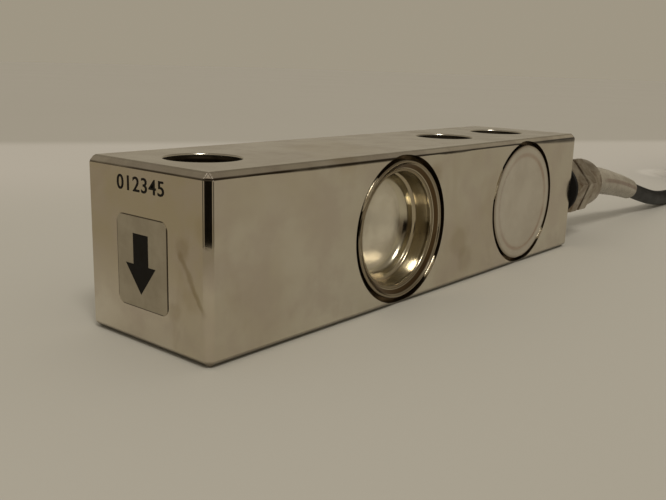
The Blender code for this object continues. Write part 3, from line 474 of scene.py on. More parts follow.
def sleeve_plastic():
    """Warm grey, slightly clear plastic, with a brown stripe painted along it as the reflection of
    the dark horizon.
    """
    n = material("sleeve_plastic")
    cloud = n.noise(240, 4, 0.6)
    base = n.mottle(cloud, (148, 140, 124), (134, 125, 109))
    along = n.minus(n.x, NUT_END)
    # The painted reflection stripe follows the sleeve's droop, which is 0.06 and 2.9 times its
    # reach and its square
    droop = n.times(along, n.plus(n.times(along, 2.9), 0.06))
    horizon_reflection_stripe = n.fall(n.off(n.plus(n.z, droop), MID_HEIGHT + 0.0006), 0.0003, 0.0009)
    base = n.stain(base, n.times(horizon_reflection_stripe, n.ramp(along, 0.004, 0.010)), 0.8, (100, 78, 62))
    return n.finish(base, 0.0, n.vary(cloud, 0.22, 0.32), n.bump(n.noise(500, 3), 0.00005, 0.2))


def conductor_skin(name, base, bare_from):
    """Coloured insulation with a bared, tinned tip."""
    n = material(name)
    coat = n.mottle(n.noise(600, 3, 0.6), base, darker(base, 0.8))
    strands = n.noise(2600, 2, 0.5, (0.2, 1, 1))
    tin = n.mix(n.ramp(strands, 0.35, 0.65), (206, 204, 200), (128, 125, 120))
    bare = n.ramp(n.x, bare_from, bare_from + 0.0001)
    rough = n.ramp(bare, 0, 1, 0.42, 0.3)
    return n.finish(n.mix(bare, coat, tin), bare, rough, n.bump(strands, 0.00008, 0.3))


BEAM = beam_steel()
HOLE = hole_metal()
GROOVE = groove_metal()
CUP = cup_steel()
WELD = plastic("weld_bead", (206, 196, 174), (140, 124, 98), 0.3, 500, 1.0)
COVER = cover_steel()
GLAND = gland_metal()
BLACK_RUBBER = rubber("black_rubber", (24, 22, 20), 0.62)
JACKET = rubber("cable_jacket", (7, 7, 7), 0.42)
SLEEVE = sleeve_plastic()


# Shape helpers


def keep(name, data, *replaced, slot, look=None):
    """Links a finished mesh or curve as a piece that rides on the beam."""
    if look is not None:
        data.materials.clear()
        data.materials.append(look)
    made = linked(name, data)
    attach(made, "root")
    if replaced:
        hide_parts(*replaced)
    return made


def smooth_by_angle(mesh, angle):
    mesh.shade_smooth()
    mesh.set_sharp_from_angle(angle=math.radians(angle))


def to_mesh(name, mesh, angle=None):
    """A mesh from a bmesh, with edges sharper than the angle kept, or with flat faces."""
    made = bpy.data.meshes.new(name)
    mesh.to_mesh(made)
    mesh.free()
    if angle is not None:
        smooth_by_angle(made, angle)
    return made


def applied(made, *helpers):
    """The final mesh of an object, which is then removed together with its helpers."""
    bpy.context.view_layer.update()
    graph = bpy.context.evaluated_depsgraph_get()
    result = bpy.data.meshes.new_from_object(made.evaluated_get(graph))
    for done in (*helpers, made):
        bpy.data.objects.remove(done, do_unlink=True)
    return result


def combine(target, *steps):
    """Applies (operation, mesh) steps to a mesh and returns the result."""
    made = linked("work", target)
    helpers = []
    for operation, mesh in steps:
        helpers.append(linked("tool", mesh))
        modifier = made.modifiers.new("step", "BOOLEAN")
        modifier.operation = operation
        modifier.solver = "EXACT"
        modifier.material_mode = "TRANSFER"
        modifier.object = helpers[-1]
    return applied(made, *helpers)


def circle(count, turn=0):
    """The cosine and sine of evenly spaced angles, from a turn in degrees."""
    angles = [math.radians(turn) + 2 * math.pi * i / count for i in range(count)]
    return [(math.cos(angle), math.sin(angle)) for angle in angles]


def bridge(mesh, rings):
    """Faces between neighbouring rings of points, where a ring of one point is a tip."""
    for one, other in zip(rings, rings[1:]):
        count = max(len(one), len(other))
        for i in range(count):
            k = (i + 1) % count
            corners = [one[k % len(one)], one[i % len(one)]]
            corners += [other[i % len(other)], other[k % len(other)]]
            mesh.faces.new(list(dict.fromkeys(corners)))


def turned_out(mesh):
    """The mesh with all its faces looking outwards."""
    bmesh.ops.recalc_face_normals(mesh, faces=mesh.faces)
    return mesh


def arc(centre, radius, start, end, steps):
    points = []
    for i in range(steps + 1):
        angle = math.radians(start + (end - start) * i / steps)
        points.append((centre[0] + radius * math.cos(angle), centre[1] + radius * math.sin(angle)))
    return points


def on_side(x, side):
    return x, NEAR if side == "near" else FAR, MID_HEIGHT


AXES = {
    "up": Matrix.Identity(4),
    "rear": Matrix.Rotation(math.radians(90), 4, "Y"),
    "near": Matrix.Rotation(math.radians(90), 4, "X"),
    "far": Matrix.Rotation(math.radians(-90), 4, "X"),
}


def lathe(profile, place=(0, 0, 0), axis="up", steps=128, closed=False):
    """A bmesh turned from (radius, height) points that run down the outer side."""
    mesh = bmesh.new()
    rings = []
    for radius, height in profile:
        points = circle(steps) if radius > 1e-7 else [(0, 0)]
        rings.append([mesh.verts.new((radius * x, radius * y, height)) for x, y in points])
    bridge(mesh, rings + rings[: 1 if closed else 0])
    turned_out(mesh)
    bmesh.ops.transform(mesh, matrix=Matrix.Translation(place) @ AXES[axis], verts=mesh.verts)
    return mesh


def lathed(name, profile, place=GLAND_AXIS, axis="rear", steps=120, closed=False):
    return to_mesh(name, lathe(profile, place, axis, steps, closed), 28)


# Beam


def chamfered_bar():
    mesh = bmesh.new()
    bmesh.ops.create_cube(mesh, size=1)
    bmesh.ops.scale(mesh, vec=(BODY_LENGTH, BODY_WIDTH, BODY_HEIGHT), verts=mesh.verts)
    bmesh.ops.translate(mesh, vec=(0, 0, MID_HEIGHT), verts=mesh.verts)
    # The chamfers, and then their own edges slightly rounded
    for offset, segments in ((BODY_CHAMFER, 1), (0.00016, 3)):
        bmesh.ops.bevel(
            mesh, geom=mesh.edges[:], offset=offset, offset_type="OFFSET", segments=segments,
            affect="EDGES",
        )
    made = to_mesh("bar", mesh)
    made.materials.append(BEAM)
    return made


def tool(name, profile, place, axis, look=BEAM, steps=128):
    made = lathed(name, profile, place, axis, steps)
    made.materials.append(look)
    return "DIFFERENCE", made


def hole_tool(x):
    half, past, wide = MID_HEIGHT, MID_HEIGHT + HOLE_BREAK, HOLE_RADIUS + HOLE_BREAK
    rim = arc((wide, half - HOLE_BREAK), HOLE_BREAK, 90, 180, 5)
    profile = [(0, past), (wide, past)] + rim + [(radius, -height) for radius, height in rim[::-1]]
    return tool("hole", profile + [(wide, -past), (0, -past)], (x, 0, half), "up", HOLE)


def pocket_tools(x, side, depth):
    groove_radius, past = LEDGE_RADIUS + GROOVE_WIDTH, 0.002
    place = on_side(x, side)
    groove = [
        (0, past), (groove_radius, past), (groove_radius, -GROOVE_DEPTH),
        (LEDGE_RADIUS, -GROOVE_DEPTH), (LEDGE_RADIUS, -LEDGE_DEPTH), (0, -LEDGE_DEPTH),
    ]
    corner = arc((POCKET_RADIUS - POCKET_FILLET, POCKET_FILLET - depth), POCKET_FILLET, 0, -90, 6)
    bore = [(0, 0), (POCKET_RADIUS, 0), *corner, (0, -depth)]
    return [tool("groove", groove, place, side, GROOVE, 160), tool("bore", bore, place, side)]


tools = [hole_tool(x) for x in (LOAD_X, *MOUNT_X)]
for side in ("near", "far"):
    tools += pocket_tools(GAUGE_X, side, GAUGE_POCKET_DEPTH)
tools += pocket_tools(WIRING_X, "near", WIRING_POCKET_DEPTH)
channel_end = WIRING_X - REAR
port = [
    (0, PORT_CONE), (PORT_RADIUS, PORT_CONE), (PORT_RADIUS, -PORT_DEPTH),
    (CHANNEL_RADIUS, -PORT_DEPTH - PORT_CONE), (CHANNEL_RADIUS, channel_end), (0, channel_end),
]
tools.append(tool("port", port, (REAR, PORT_Y, MID_HEIGHT), "rear", steps=64))
beam_mesh = combine(chamfered_bar(), *tools)
smooth_by_angle(beam_mesh, 9)
keep("beam", beam_mesh, "body", slot="beam_steel")


# Cups and cover

CUP_MOUTH, CUP_WALL = 0.0116, 0.0109  # radii of the first wall and of the wall under the step
CUP_FILLET = 0.0021
CUP_DISH = 17  # degrees that the floor's edge slopes to its middle
DISH_STEPS = 12


def cup_mesh(name, side):
    """The drawn cup as a thin shell: the seen surface, and the sheet's back behind it."""
    # The bead, the slope, the rolled lip, the step and the rounded corner
    surface = [(LEDGE_RADIUS - 0.00008, -0.00030), (LEDGE_RADIUS - 0.00020, -0.00008)]
    surface += arc((0.01364, -0.00030), 0.00030, 90, 150, 4)
    surface += [(0.01310, -0.00046), (0.01280, -0.00066), (0.01246, -0.00088), (0.01222, -0.00100)]
    surface += arc((0.01195, -0.00145), 0.00042, 62, 172, 6)
    surface += [(0.01154, -0.00162), (CUP_MOUTH, -0.0020), (CUP_MOUTH, -0.0045)]
    surface += arc((CUP_MOUTH - 0.00050, -0.0048), 0.00050, -8, -62, 4)
    surface += arc((CUP_WALL + 0.00028, -0.00560), 0.00028, 118, 180, 4)
    surface += arc((CUP_WALL - CUP_FILLET, -0.0057), CUP_FILLET, -6, CUP_DISH - 90, 11)
    edge_radius, edge_depth = surface[-1]
    sag = edge_radius * math.tan(math.radians(CUP_DISH)) / 2
    for k in range(1, DISH_STEPS + 1):
        share = 1 - k / DISH_STEPS
        surface.append((edge_radius * share, edge_depth - sag * (1 - share * share)))
    shell = linked("work", to_mesh(name, lathe(surface, steps=160)))
    modifier = shell.modifiers.new("sheet", "SOLIDIFY")
    modifier.thickness = SHEET - 0.0001
    modifier.use_even_offset = True
    modifier.offset = -1
    made = applied(shell)
    made.transform(Matrix.Translation(on_side(GAUGE_X, side)) @ AXES[side])
    smooth_by_angle(made, 50)
    return made


for side in ("near", "far"):
    cup = cup_mesh(f"cup_{side}", side)
    keep(f"drawn_cup_{side}", cup, f"gauge_cup_{side}", look=CUP, slot="cup_steel")

spigot, edge = POCKET_RADIUS - 0.0004, LEDGE_RADIUS - 0.00005
cover_profile = [
    (0, -0.00012), (0.0060, -0.00012), (0.01135, -0.00012), (0.0116, -0.00006), (0.0118, 0),
    (LEDGE_RADIUS - 0.0002, 0), (edge, -0.00015), (edge, -SHEET), (spigot, -SHEET),
    (spigot, -0.0015), (spigot - SHEET, -0.0015), (spigot - SHEET, -0.00072), (0, -0.00072),
]
cover = lathed("cover", cover_profile, on_side(WIRING_X, "near"), "near", 160)
keep("welded_cover", cover, "wiring_cover", look=COVER, slot="cover_steel")


# Places where the weld fills its groove

BEAD_RADIUS, BEAD_STEPS = 0.0005, 28


def new_curve(name, radius, sides):
    curve = bpy.data.curves.new(name, "CURVE")
    curve.dimensions = "3D"
    curve.bevel_depth = radius
    curve.bevel_resolution = sides
    curve.use_fill_caps = True
    return curve


def weld_bead(name, centre_x, start, end, middle):
    """A slightly lumpy bead from one angle to another round a pocket."""
    curve = new_curve(name, 1.0, 4)
    spline = curve.splines.new("POLY")
    spline.points.add(BEAD_STEPS)
    for i, point in enumerate(spline.points):
        share = i / BEAD_STEPS
        angle = math.radians(start + (end - start) * share)
        x, z = centre_x + middle * math.cos(angle), MID_HEIGHT + middle * math.sin(angle)
        point.co = (x, NEAR + 0.8 * BEAD_RADIUS, z, 1)
        tapered = 0.25 + 0.75 * math.sin(math.pi * share) ** 0.5
        point.radius = BEAD_RADIUS * tapered * (1 + 0.08 * math.sin(i * 2.4))
    keep(name, curve, look=WELD, slot="beam_steel")


groove_middle = LEDGE_RADIUS + GROOVE_WIDTH / 2
weld_bead("weld_bead_1", WIRING_X, -48, -33, groove_middle)
weld_bead("weld_bead_2", WIRING_X, 140, 172, groove_middle)
weld_bead("weld_bead_3", GAUGE_X, -52, -30, groove_middle)
weld_bead("weld_bead_4", GAUGE_X, 128, 158, LEDGE_RADIUS + 0.0001)


# Label: a thin foil with rounded corners, and its arrow pointing down

FOIL, FOIL_CORNER = 0.00010, 0.0016
ARROW_OUTLINE = (
    (-0.0012, 0.01917), (0.0028, 0.01917), (0.0028, 0.01390), (0.00491, 0.01390),
    (0.0009, 0.0089), (-0.00307, 0.01390), (-0.0012, 0.01390),
)


def rounded_loop(width, height, corner, steps):
    x, y = width / 2 - corner, height / 2 - corner
    loop = []
    for i, centre in enumerate(((x, y), (-x, y), (-x, -y), (x, -y))):
        loop += arc(centre, corner, 90 * i, 90 * i + 90, steps)
    return loop


def plate(name, loops, angle=None):
    """A plate on the load end from (how far out, loop of y and z) layers."""
    mesh = bmesh.new()
    rings = [[mesh.verts.new((FRONT - out, y, z)) for y, z in loop] for out, loop in loops]
    bridge(mesh, rings)
    mesh.faces.new(rings[0])
    mesh.faces.new(rings[-1])
    return to_mesh(name, turned_out(mesh), angle)


low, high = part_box("direction_label")
middle_y, middle_z = (low.y + high.y) / 2, (low.z + high.z) / 2
foil = []
for inward, out in ((0, 0.00001), (0, 0.7 * FOIL), (0.00004, FOIL)):
    width, height = high.y - low.y - 2 * inward, high.z - low.z - 2 * inward
    loop = rounded_loop(width, height, FOIL_CORNER - inward, 8)
    foil.append((out, [(middle_y + y, middle_z + z) for y, z in loop]))
keep("label", plate("label", foil, 20), "direction_label", look=label_foil(), slot="label_foil")

arrow = [(FOIL + 0.00002, ARROW_OUTLINE), (FOIL - 0.00001, ARROW_OUTLINE)]
keep("load_arrow", plate("arrow", arrow), look=ink(), slot="label_foil")


# Cable: the same route as the part's source, then the hank's turns and the tail


def smooth_route(points, spacing):
    """Evenly spaced points on a smooth curve through the route's own points."""
    route = [Vector(point) for point in points]
    route = [2 * route[0] - route[1]] + route + [2 * route[-1] - route[-2]]
    fine = []
    for i in range(1, len(route) - 2):
        before, start, end, after = route[i - 1 : i + 3]
        for k in range(24):
            t = k / 24
            square = (2 * before - 5 * start + 4 * end - after) * t * t
            cube = (3 * start - before - 3 * end + after) * t * t * t
            fine.append(0.5 * (2 * start + (end - before) * t + square + cube))
    fine.append(route[-2])
    reach = [0.0]
    for a, b in zip(fine, fine[1:]):
        reach.append(reach[-1] + (b - a).length)
    count = max(2, round(reach[-1] / spacing))
    even = []
    k = 0
    for i in range(count + 1):
        want = reach[-1] * i / count
        while k < len(reach) - 2 and reach[k + 1] < want:
            k += 1
        share = (want - reach[k]) / (reach[k + 1] - reach[k])
        even.append(fine[k].lerp(fine[k + 1], min(1, max(0, share))))
    return even


# How far the lead has dropped at some distances from the nut
DROOP = (
    (0.0064, 0.0003), (0.0128, 0.00112), (0.0195, 0.0023), (0.0265, 0.0036), (0.0345, 0.0053),
    (0.0425, 0.0072), (0.0510, 0.0092), (0.0595, 0.0110), (0.0680, 0.01225), (0.0765, 0.01282),
)
OUTER_TURN_Y = HANK_Y - OUTER_FOLD
LEAD_ROUTE = [(x, PORT_Y, MID_HEIGHT) for x in (SHANK_START, NUT_START, NUT_END)]
LEAD_ROUTE += [(NUT_END + along, PORT_Y, MID_HEIGHT - fall) for along, fall in DROOP]
BENDS = ((0.087, 0.0008), (0.105, 0.0045), (0.128, 0.0115))  # and how it then swings to the hank
LEAD_ROUTE += [(NUT_END + along, PORT_Y - aside, CABLE_RADIUS) for along, aside in BENDS]
LEAD_ROUTE.append((NUT_END + 0.148, OUTER_TURN_Y + 0.0006, CABLE_RADIUS))
LEAD_ROUTE.append((HANK_LEFT - 0.015, OUTER_TURN_Y, CABLE_RADIUS))

# Each turn lies in a slot: on the outer or the inner side, and in a layer
SLOTS = []
for layer in range(HANK_LAYERS):
    SLOTS += [(0, layer), (1, layer)] if layer % 2 == 0 else [(1, layer), (0, layer)]
SLOTS.append((1, HANK_LAYERS + 0.06))
SLOT_TURNS = 0.95  # each change of slot comes a little earlier than the one below it
CHANGE = 0.15  # turns that a change takes
HANK_TURNS, TURN_POINTS = 10.157, 48
TIE_LIFT, TIE_REACH = 0.0015, 0.009  # the tie's lower strand lifts the lowest turns a little


def ease(t):
    t = min(1.0, max(0.0, t))
    return t * t * (3 - 2 * t)


def turn_point(share, inner):
    """A point on a turn: share runs from the near left, inner from the outer to the inner turn."""
    fold = OUTER_FOLD + (INNER_FOLD - OUTER_FOLD) * inner
    waist = OUTER_WAIST + (INNER_WAIST - OUTER_WAIST) * inner
    bend = math.pi * fold
    whole = 2 * (HANK_STRAIGHT * 1.01 + bend)
    run, bend = HANK_STRAIGHT * 1.01 / whole, bend / whole

    def side(t):
        return waist + (fold - waist) * (1 + math.cos(2 * math.pi * t)) / 2

    if share < run:
        t = share / run
        return HANK_LEFT + HANK_STRAIGHT * t, HANK_Y - side(t)
    if share < run + bend:
        angle = (share - run) / bend * math.pi
        return HANK_LEFT + HANK_STRAIGHT + fold * math.sin(angle), HANK_Y - fold * math.cos(angle)
    if share < 2 * run + bend:
        t = 1 - (share - run - bend) / run
        return HANK_LEFT + HANK_STRAIGHT * t, HANK_Y + side(t)
    angle = (share - 2 * run - bend) / bend * math.pi
    return HANK_LEFT - fold * math.sin(angle), HANK_Y + fold * math.cos(angle)


def hank_points():
    """The turns' whole length, from where the lead comes in to the waist under the tie."""
    count = int(HANK_TURNS * TURN_POINTS)
    points = []
    for i in range(count + 1):
        turns = HANK_TURNS * i / count
        inner, layer = SLOTS[0]
        for k in range(1, len(SLOTS)):
            share = ease((turns - k * SLOT_TURNS + CHANGE / 2) / CHANGE)
            inner += (SLOTS[k][0] - SLOTS[k - 1][0]) * share
            layer += (SLOTS[k][1] - SLOTS[k - 1][1]) * share
        x, y = turn_point(turns % 1.0, inner)
        near_tie = math.exp(-(((x - HANK_MIDDLE) / TIE_REACH) ** 2))
        lift = TIE_LIFT * (1 - layer / HANK_LAYERS) * near_tie
        points.append(Vector((x, y, CABLE_RADIUS + layer * 2 * CABLE_RADIUS + lift)))
    return points


def cord_curve(name, route, radius, sides, steps):
    """A round cord on one smooth curve through the route's points."""
    curve = new_curve(name, radius, sides)
    curve.resolution_u = steps
    points = curve.splines.new("BEZIER").bezier_points
    points.add(len(route) - 1)
    for point, place in zip(points, route):
        point.co = place
        point.handle_left_type = point.handle_right_type = "AUTO"
    return curve


tail = [(HANK_MIDDLE + 0.0055, TAIL_Y, TAIL_Z), (HANK_MIDDLE + 0.0130, TAIL_Y, TAIL_Z + 0.0002)]
tail += [(HANK_MIDDLE + 0.0220, TAIL_Y, BOOT_Z), (TAIL_END, TAIL_Y, BOOT_Z)]
route = smooth_route(LEAD_ROUTE, 0.0062)[:-1] + hank_points() + tail
cable_curve = cord_curve("cable", route, CABLE_RADIUS, 7, 4)
solids = ("cable_lead", "cable_hank", "cable_tail")
cable = keep("cable", cable_curve, *solids, look=JACKET, slot="cable_jacket")


# Gland, its washer and the bend relief sleeve


def hexagon(start, end):
    """A six-sided bar whose corners are bevelled by a turned cone at both ends."""
    corner, corners = HEX_ACROSS_FLATS / math.sqrt(3), circle(6, 30 + HEX_TURN)
    mesh = bmesh.new()
    rings = []
    for x in (start, end):
        points = [(x, PORT_Y + corner * c, MID_HEIGHT + corner * s) for c, s in corners]
        rings.append([mesh.verts.new(point) for point in points])
    bridge(mesh, rings)
    mesh.faces.new(rings[0])
    mesh.faces.new(rings[1])
    bar = to_mesh("hexagon", turned_out(mesh))
    tip, past = corner - 1.7 * HEX_CHAMFER, corner + 0.001
    drop = (past - tip) * math.tan(math.radians(30))
    profile = [(0, end), (tip, end), (past, end - drop)]
    profile += [(past, start + drop), (tip, start), (0, start)]
    return combine(bar, ("INTERSECT", lathed("cone", profile)))


def gland_piece(name, node, start, end, added, removed):
    """A hexagon with one turned shape added to it and another taken out."""
    steps = ("UNION", lathed("added", added)), ("DIFFERENCE", lathed("removed", removed))
    made = combine(hexagon(start, end), *steps)
    smooth_by_angle(made, 25)
    keep(name, made, node, look=GLAND, slot="gland_metal")


inner = SHANK_RADIUS + 0.0003
washer_profile = [
    (inner, WASHER_END), (WASHER_RADIUS - 0.0002, WASHER_END), (WASHER_RADIUS, WASHER_END - 0.0002),
    (WASHER_RADIUS, WASHER_START + 0.0002), (WASHER_RADIUS - 0.0002, WASHER_START),
    (inner, WASHER_START),
]
washer = lathed("washer", washer_profile, closed=True)
keep("washer", washer, "seal_washer", look=BLACK_RUBBER, slot="black_rubber")

past, before = NOSE_END + 0.001, SHANK_START - 0.001
nose = [
    (0, NOSE_END), (NOSE_RADIUS - 0.0003, NOSE_END), (NOSE_RADIUS, NOSE_END - 0.0003),
    (NOSE_RADIUS, FLANGE_START + 0.002), (SHANK_RADIUS, FLANGE_START + 0.002),
    (SHANK_RADIUS, SHANK_START + 0.0003), (SHANK_RADIUS - 0.0003, SHANK_START), (0, SHANK_START),
]
bore = [(0, past), (CABLE_BORE, past), (CABLE_BORE, before), (0, before)]
gland_piece("gland_hexagon", "gland_body", FLANGE_START, FLANGE_END, nose, bore)

dome = [(0, NUT_END), (NUT_MOUTH_RADIUS - 0.0002, NUT_END), (NUT_MOUTH_RADIUS, NUT_END - 0.0002)]
dome += arc((NUT_MOUTH_RADIUS, NUT_BARREL_END), NUT_DOME_RADIUS - NUT_MOUTH_RADIUS, 90, 0, 10)
dome += [(NUT_DOME_RADIUS, NUT_HEX_END - 0.003), (0, NUT_HEX_END - 0.003)]
stem, wide, past = STEM_RADIUS + 0.0003, NOSE_RADIUS + 0.0003, NUT_END + 0.001
hollow = [
    (0, past), (stem, past), (stem, STEM_START - 0.0003), (0.0043, STEM_START - 0.0003),
    (wide, NOSE_END + 0.0003), (wide, NUT_START - 0.001), (0, NUT_START - 0.001),
]
gland_piece("gland_cap", "gland_nut", NUT_START, NUT_HEX_END, dome, hollow)


def sweep(name, stations, sides=40):
    """A closed ring of tube: stations are (centre, direction, radius) round its section."""
    mesh = bmesh.new()
    rings = []
    for centre, direction, radius in stations:
        across = direction.cross(Vector((0, 0, 1))).normalized()
        up = across.cross(direction).normalized()
        points = [centre + across * radius * c + up * radius * s for c, s in circle(sides)]
        rings.append([mesh.verts.new(point) for point in points])
    bridge(mesh, rings + rings[:1])
    return to_mesh(name, turned_out(mesh), 35)


along = [
    point
    for point in smooth_route(LEAD_ROUTE, 0.0008)
    if NUT_END + 0.0003 <= point.x <= NUT_END + SLEEVE_LENGTH - 0.0003
]
stations = []
for i, point in enumerate(along):
    direction = (along[min(i + 1, len(along) - 1)] - along[max(i - 1, 0)]).normalized()
    share = (point.x - NUT_END) / SLEEVE_LENGTH
    stations.append((point, direction, SLEEVE_ROOT + (SLEEVE_TIP - SLEEVE_ROOT) * share))
first, last = stations[0], stations[-1]
outside = [(first[0], first[1], first[2] - 0.0002)]
outside += [(first[0] + first[1] * 0.0002, first[1], first[2])] + stations[1:-1]
outside += [(last[0] - last[1] * 0.00015, last[1], last[2]), (last[0], last[1], last[2] - 0.0002)]
inside = [(centre, direction, CABLE_RADIUS + 0.00006) for centre, direction, _ in stations[::-1]]
sleeve = sweep("sleeve", outside + inside)
keep("bend_sleeve", sleeve, "strain_sleeve", look=SLEEVE, slot="sleeve_rubber")


# Digits on the load end: plain numbers in a row, stamped dark

DIGITS_WIDTH, DIGITS_HEIGHT, DIGITS_Y, DIGITS_Z = 0.0124, 0.0025, 0.0007, 0.02735


def digits_mesh():
    curve = bpy.data.curves.new("digits", "FONT")
    curve.body = "012345"
    curve.size = 0.0034
    curve.space_character = 1.10
    curve.extrude = 0.00002
    curve.offset = 0.00003
    mesh = applied(linked("digits", curve))
    low = Vector([min(v.co[k] for v in mesh.vertices) for k in range(3)])
    high = Vector([max(v.co[k] for v in mesh.vertices) for k in range(3)])
    mesh.transform(Matrix.Translation(-(low + high) / 2))
    grow = (DIGITS_WIDTH / (high.x - low.x), DIGITS_HEIGHT / (high.y - low.y), 1, 1)
    mesh.transform(Matrix.Diagonal(grow))
    # Text's right side runs towards -Y and its up towards +Z, seen from the load end
    mesh.transform(Matrix(((0, 0, -1, 0), (-1, 0, 0, 0), (0, 1, 0, 0), (0, 0, 0, 1))))
    mesh.transform(Matrix.Translation((FRONT - 0.00003, DIGITS_Y, DIGITS_Z)))
    return mesh


keep("digits", digits_mesh(), look=ink(), slot="label_foil")


# Tie round the hank's waist, with its head on the far side

TIE_WIDTH, TIE_THICKNESS, TIE_EDGE, TIE_CORNER = 0.0048, 0.0012, 0.0003, 0.0034
TIE_TEETH = 14
# The head's four walls round its slot, and the strap's cut end: low and high corners
TIE_HEAD = (
    ((-0.0034, 0.0000, 0.0100), (-0.0025, 0.0042, 0.0160)),
    ((0.0025, 0.0000, 0.0100), (0.0034, 0.0042, 0.0160)),
    ((-0.0025, 0.0000, 0.0100), (0.0025, 0.0009, 0.0160)),
    ((-0.0025, 0.0026, 0.0100), (0.0025, 0.0042, 0.0160)),
    ((-0.0023, 0.0011, 0.0085), (0.0023, 0.0023, 0.0178)),
)


def add_box(mesh, low, high):
    made = bmesh.ops.create_cube(mesh, size=1)["verts"]
    bmesh.ops.scale(mesh, vec=[high[k] - low[k] for k in range(3)], verts=made)
    bmesh.ops.translate(mesh, vec=[(high[k] + low[k]) / 2 for k in range(3)], verts=made)


def tie_mesh():
    low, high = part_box("hank_tie")
    width, height = high.y - low.y, high.z - low.z
    middle_y, middle_z = (low.y + high.y) / 2, (low.z + high.z) / 2
    mesh = bmesh.new()
    half, inner = TIE_WIDTH / 2, TIE_THICKNESS
    section = [(-half, TIE_EDGE), (TIE_EDGE - half, 0), (half - TIE_EDGE, 0), (half, TIE_EDGE)]
    section += [(half, inner - TIE_EDGE), (half - TIE_EDGE, inner)]
    section += [(TIE_EDGE - half, inner), (-half, inner - TIE_EDGE)]
    rings = []
    for along, inward in section:
        x = HANK_MIDDLE + along
        loop = rounded_loop(width - 2 * inward, height - 2 * inward, TIE_CORNER - inward, 10)
        rings.append([mesh.verts.new((x, middle_y + y, middle_z + z)) for y, z in loop])
    bridge(mesh, rings + rings[:1])
    for (x0, y0, z0), (x1, y1, z1) in TIE_HEAD:
        add_box(mesh, (HANK_MIDDLE + x0, high.y + y0, z0), (HANK_MIDDLE + x1, high.y + y1, z1))
    # Ratchet teeth across the strap where it lies on top
    for i in range(TIE_TEETH):
        y = middle_y - 0.0062 + 0.0124 * i / (TIE_TEETH - 1)
        low_corner = (HANK_MIDDLE - 0.0016, y - 0.00022, high.z - 0.0002)
        add_box(mesh, low_corner, (HANK_MIDDLE + 0.0016, y + 0.00022, high.z - 0.00002))
    return to_mesh("tie", turned_out(mesh), 30)


tie_look = plastic("tie_plastic", (30, 29, 27), (24, 23, 21), 0.42)
keep("cable_tie", tie_mesh(), "hank_tie", look=tie_look, slot="tie_plastic")


# Boot and bared conductors at the cable's free end

BOOT_START, BOOT_END = TAIL_END - 0.012, TAIL_END + 0.0003
BOOT_OUTER, BOOT_INNER = CABLE_BORE + 0.0005, CABLE_RADIUS + 0.00008
boot_profile = [
    (BOOT_INNER, BOOT_END), (BOOT_OUTER - 0.0002, BOOT_END), (BOOT_OUTER, BOOT_END - 0.0003),
    (BOOT_OUTER, BOOT_START + 0.0003), (BOOT_OUTER - 0.0003, BOOT_START), (BOOT_INNER, BOOT_START),
]
boot = lathed("boot", boot_profile, (0, TAIL_Y, BOOT_Z), "rear", 48, True)
keep("end_boot", boot, "jacket_boot", look=BLACK_RUBBER, slot="black_rubber")

# Name, colour, place in the cable across and up, how far each reaches and spreads, and its radius
CORES = (
    ("red", (150, 28, 22), -0.00085, 0.00085, 0.0280, -0.0045, 0.00055),
    ("black", (26, 25, 24), -0.00085, -0.00085, 0.0270, -0.0016, 0.00055),
    ("green", (28, 96, 46), 0.00085, -0.00085, 0.0280, 0.0018, 0.00055),
    ("white", (214, 210, 200), 0.00085, 0.00085, 0.0275, 0.0052, 0.00055),
    ("drain", (180, 176, 170), 0.00225, 0.0, 0.0260, 0.0085, 0.00035),
)
# Shares of a core's reach, spread and drop along its way
CORE_WAY = ((0.14, 0.1, 0), (0.36, 0.4, 0.5), (0.57, 0.8, 1), (1, 1.2, 1))
for name, tint, across, up, reach, spread, radius in CORES:
    y, z, rest_z = TAIL_Y + across, BOOT_Z + up, HANK_TOP + radius
    core_route = [(TAIL_END + 0.0006, y, z)]
    for along, out, height in CORE_WAY:
        place = (TAIL_END + along * reach, y + out * spread, z + height * (rest_z - z))
        core_route.append(place)
    node, slot, bare_from = f"conductor_{name}", f"{name}_insulation", TAIL_END + reach - 0.006
    if name == "drain":
        node, slot, bare_from = "drain_wire", "tinned_wire", TAIL_END - 0.001
    core = cord_curve(f"core_{name}", core_route, radius, 4, 6)
    skin = conductor_skin(f"core_{name}", tint, bare_from)
    keep(f"core_{name}", core, node, look=skin, slot=slot)


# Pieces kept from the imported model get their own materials


def both(name):
    return f"{name}_near", f"{name}_far"


RESISTORS = ("span_resistor_a", "span_resistor_b", "zero_resistor", "temperature_resistor")
KEPT = (
    (("clamp_ring",), "clamp_nylon", (208, 203, 190), (190, 184, 170), 0.5),
    (("terminal_board",), "board_lacquer", (40, 92, 52), (30, 76, 42), 0.45),
    (("cable_wires",), "wire_bundle", (150, 130, 110), (120, 96, 80), 0.5),
    (both("strain_gauge"), "gauge_foil", (176, 118, 40), (150, 96, 30), 0.35, 800),
    (both("gauge_terminals"), "solder_pads", (206, 150, 110), (180, 126, 92), 0.35, 900, 1.0),
    (both("lead_bundle"), "fine_wires", (160, 90, 50), (140, 70, 40), 0.45, 900),
    (RESISTORS, "resistor_lacquer", (168, 148, 112), (150, 130, 96), 0.5, 900),
)


def dress(name, look):
    for held in bpy.data.objects[name].material_slots:
        held.material = look


dress("gland_seal", BLACK_RUBBER)
for names, *numbers in KEPT:
    look = plastic(*numbers)
    for name in names:
        dress(name, look)


# Floor, light and background

FLOOR_REACH = 6
BEYOND_X, BEYOND_Y = 0.509, 0.861  # the direction across the wall's foot
HANK_SHADOW = (0.265, 0.011, 0)


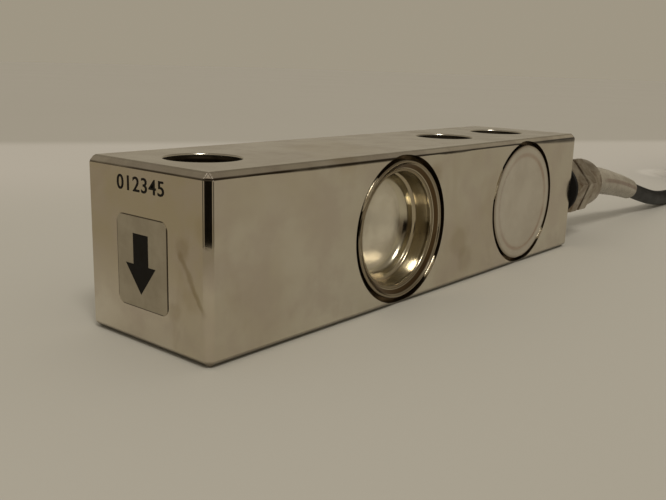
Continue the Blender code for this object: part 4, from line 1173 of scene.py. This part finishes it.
def floor_material():
    n = material("floor")
    cloud = n.noise(3, 3, 0.5)
    base = n.mottle(cloud, (184, 180, 170), (180, 176, 165))
    beyond = n.plus(n.times(n.x, BEYOND_X), n.times(n.y, BEYOND_Y))
    # Painted light: the floor turns paler farther away, towards the wall's foot
    base = n.mix(n.ramp(beyond, 0.06, 0.20), base, (193, 188, 179))
    # Paler where the hank's shadow falls, so that it doesn't show at the edge of the view
    shaded = n.ramp(n.away(HANK_SHADOW), 0.0150, 0.0265, 1.0, 0.0, smooth=False)
    base = n.mix(n.math("POWER", shaded, 1.5), base, (255, 250, 240))
    # The wall's foot in the photograph
    base = n.mix(n.ramp(beyond, 0.292, 0.330), base, (173, 168, 157))
    return n.finish(base, 0.0, n.vary(cloud, 0.62, 0.7))


def sheet_object(name, corners, look):
    """One four-cornered face with its material, linked into the scene."""
    mesh = bpy.data.meshes.new(name)
    mesh.from_pydata(corners, [], [(0, 1, 2, 3)])
    mesh.materials.append(look)
    made = linked(name, mesh)
    return made


corners = [Vector((x, y, 0)) * FLOOR_REACH for x, y in ((-1, -1), (1, -1), (1, 1), (-1, 1))]
sheet_object("floor", corners, floor_material())


def far_lamp(name, toward, power, angle):
    sun = bpy.data.lights.new(name, "SUN")
    sun.energy = power
    sun.angle = math.radians(angle)
    sun.color = (1.0, 0.965, 0.90)
    made = linked(name, sun)
    made.matrix_world = Vector(toward).to_track_quat("Z", "Y").to_matrix().to_4x4()
    return made


# A lamp high on the camera's side, and a wide fill that the steel doesn't mirror
far_lamp("main_light", (-0.283, -0.50, 0.816), 1.15, 16)
far_lamp("fill_light", (-0.1, -0.1, 1.0), 1.0, 130).visible_glossy = False

# A dark screen at the camera's place, as the camera's own body, for the steel to reflect
SCREEN_HALF_WIDTH, SCREEN_AHEAD, SCREEN_HEIGHT = 0.055, 0.032, 0.050
dark = material("dark_screen").finish((0.004, 0.0035, 0.003, 1), 0.0, 0.8)
aside = RIGHT.xy.normalized().to_3d() * SCREEN_HALF_WIDTH
foot = (CAMERA_PLACE.xy + AHEAD.xy.normalized() * SCREEN_AHEAD).to_3d()
rise = Vector((0, 0, SCREEN_HEIGHT))
corners = [foot - aside, foot + aside, foot + aside + rise, foot - aside + rise]
screen = sheet_object("dark_screen", corners, dark)
screen.visible_camera = False
screen.visible_shadow = False
screen.visible_diffuse = False

# The room: pale low down, darker towards the ceiling
scene.world = bpy.data.worlds.new("studio")
n = Nodes(scene.world, "Generated")
room = n.mix(n.ramp(n.z, 0.25, 0.60), (0.345, 0.305, 0.232, 1), (0.215, 0.190, 0.150, 1))
n.put(room, n.tree.nodes["Background"].inputs["Color"])
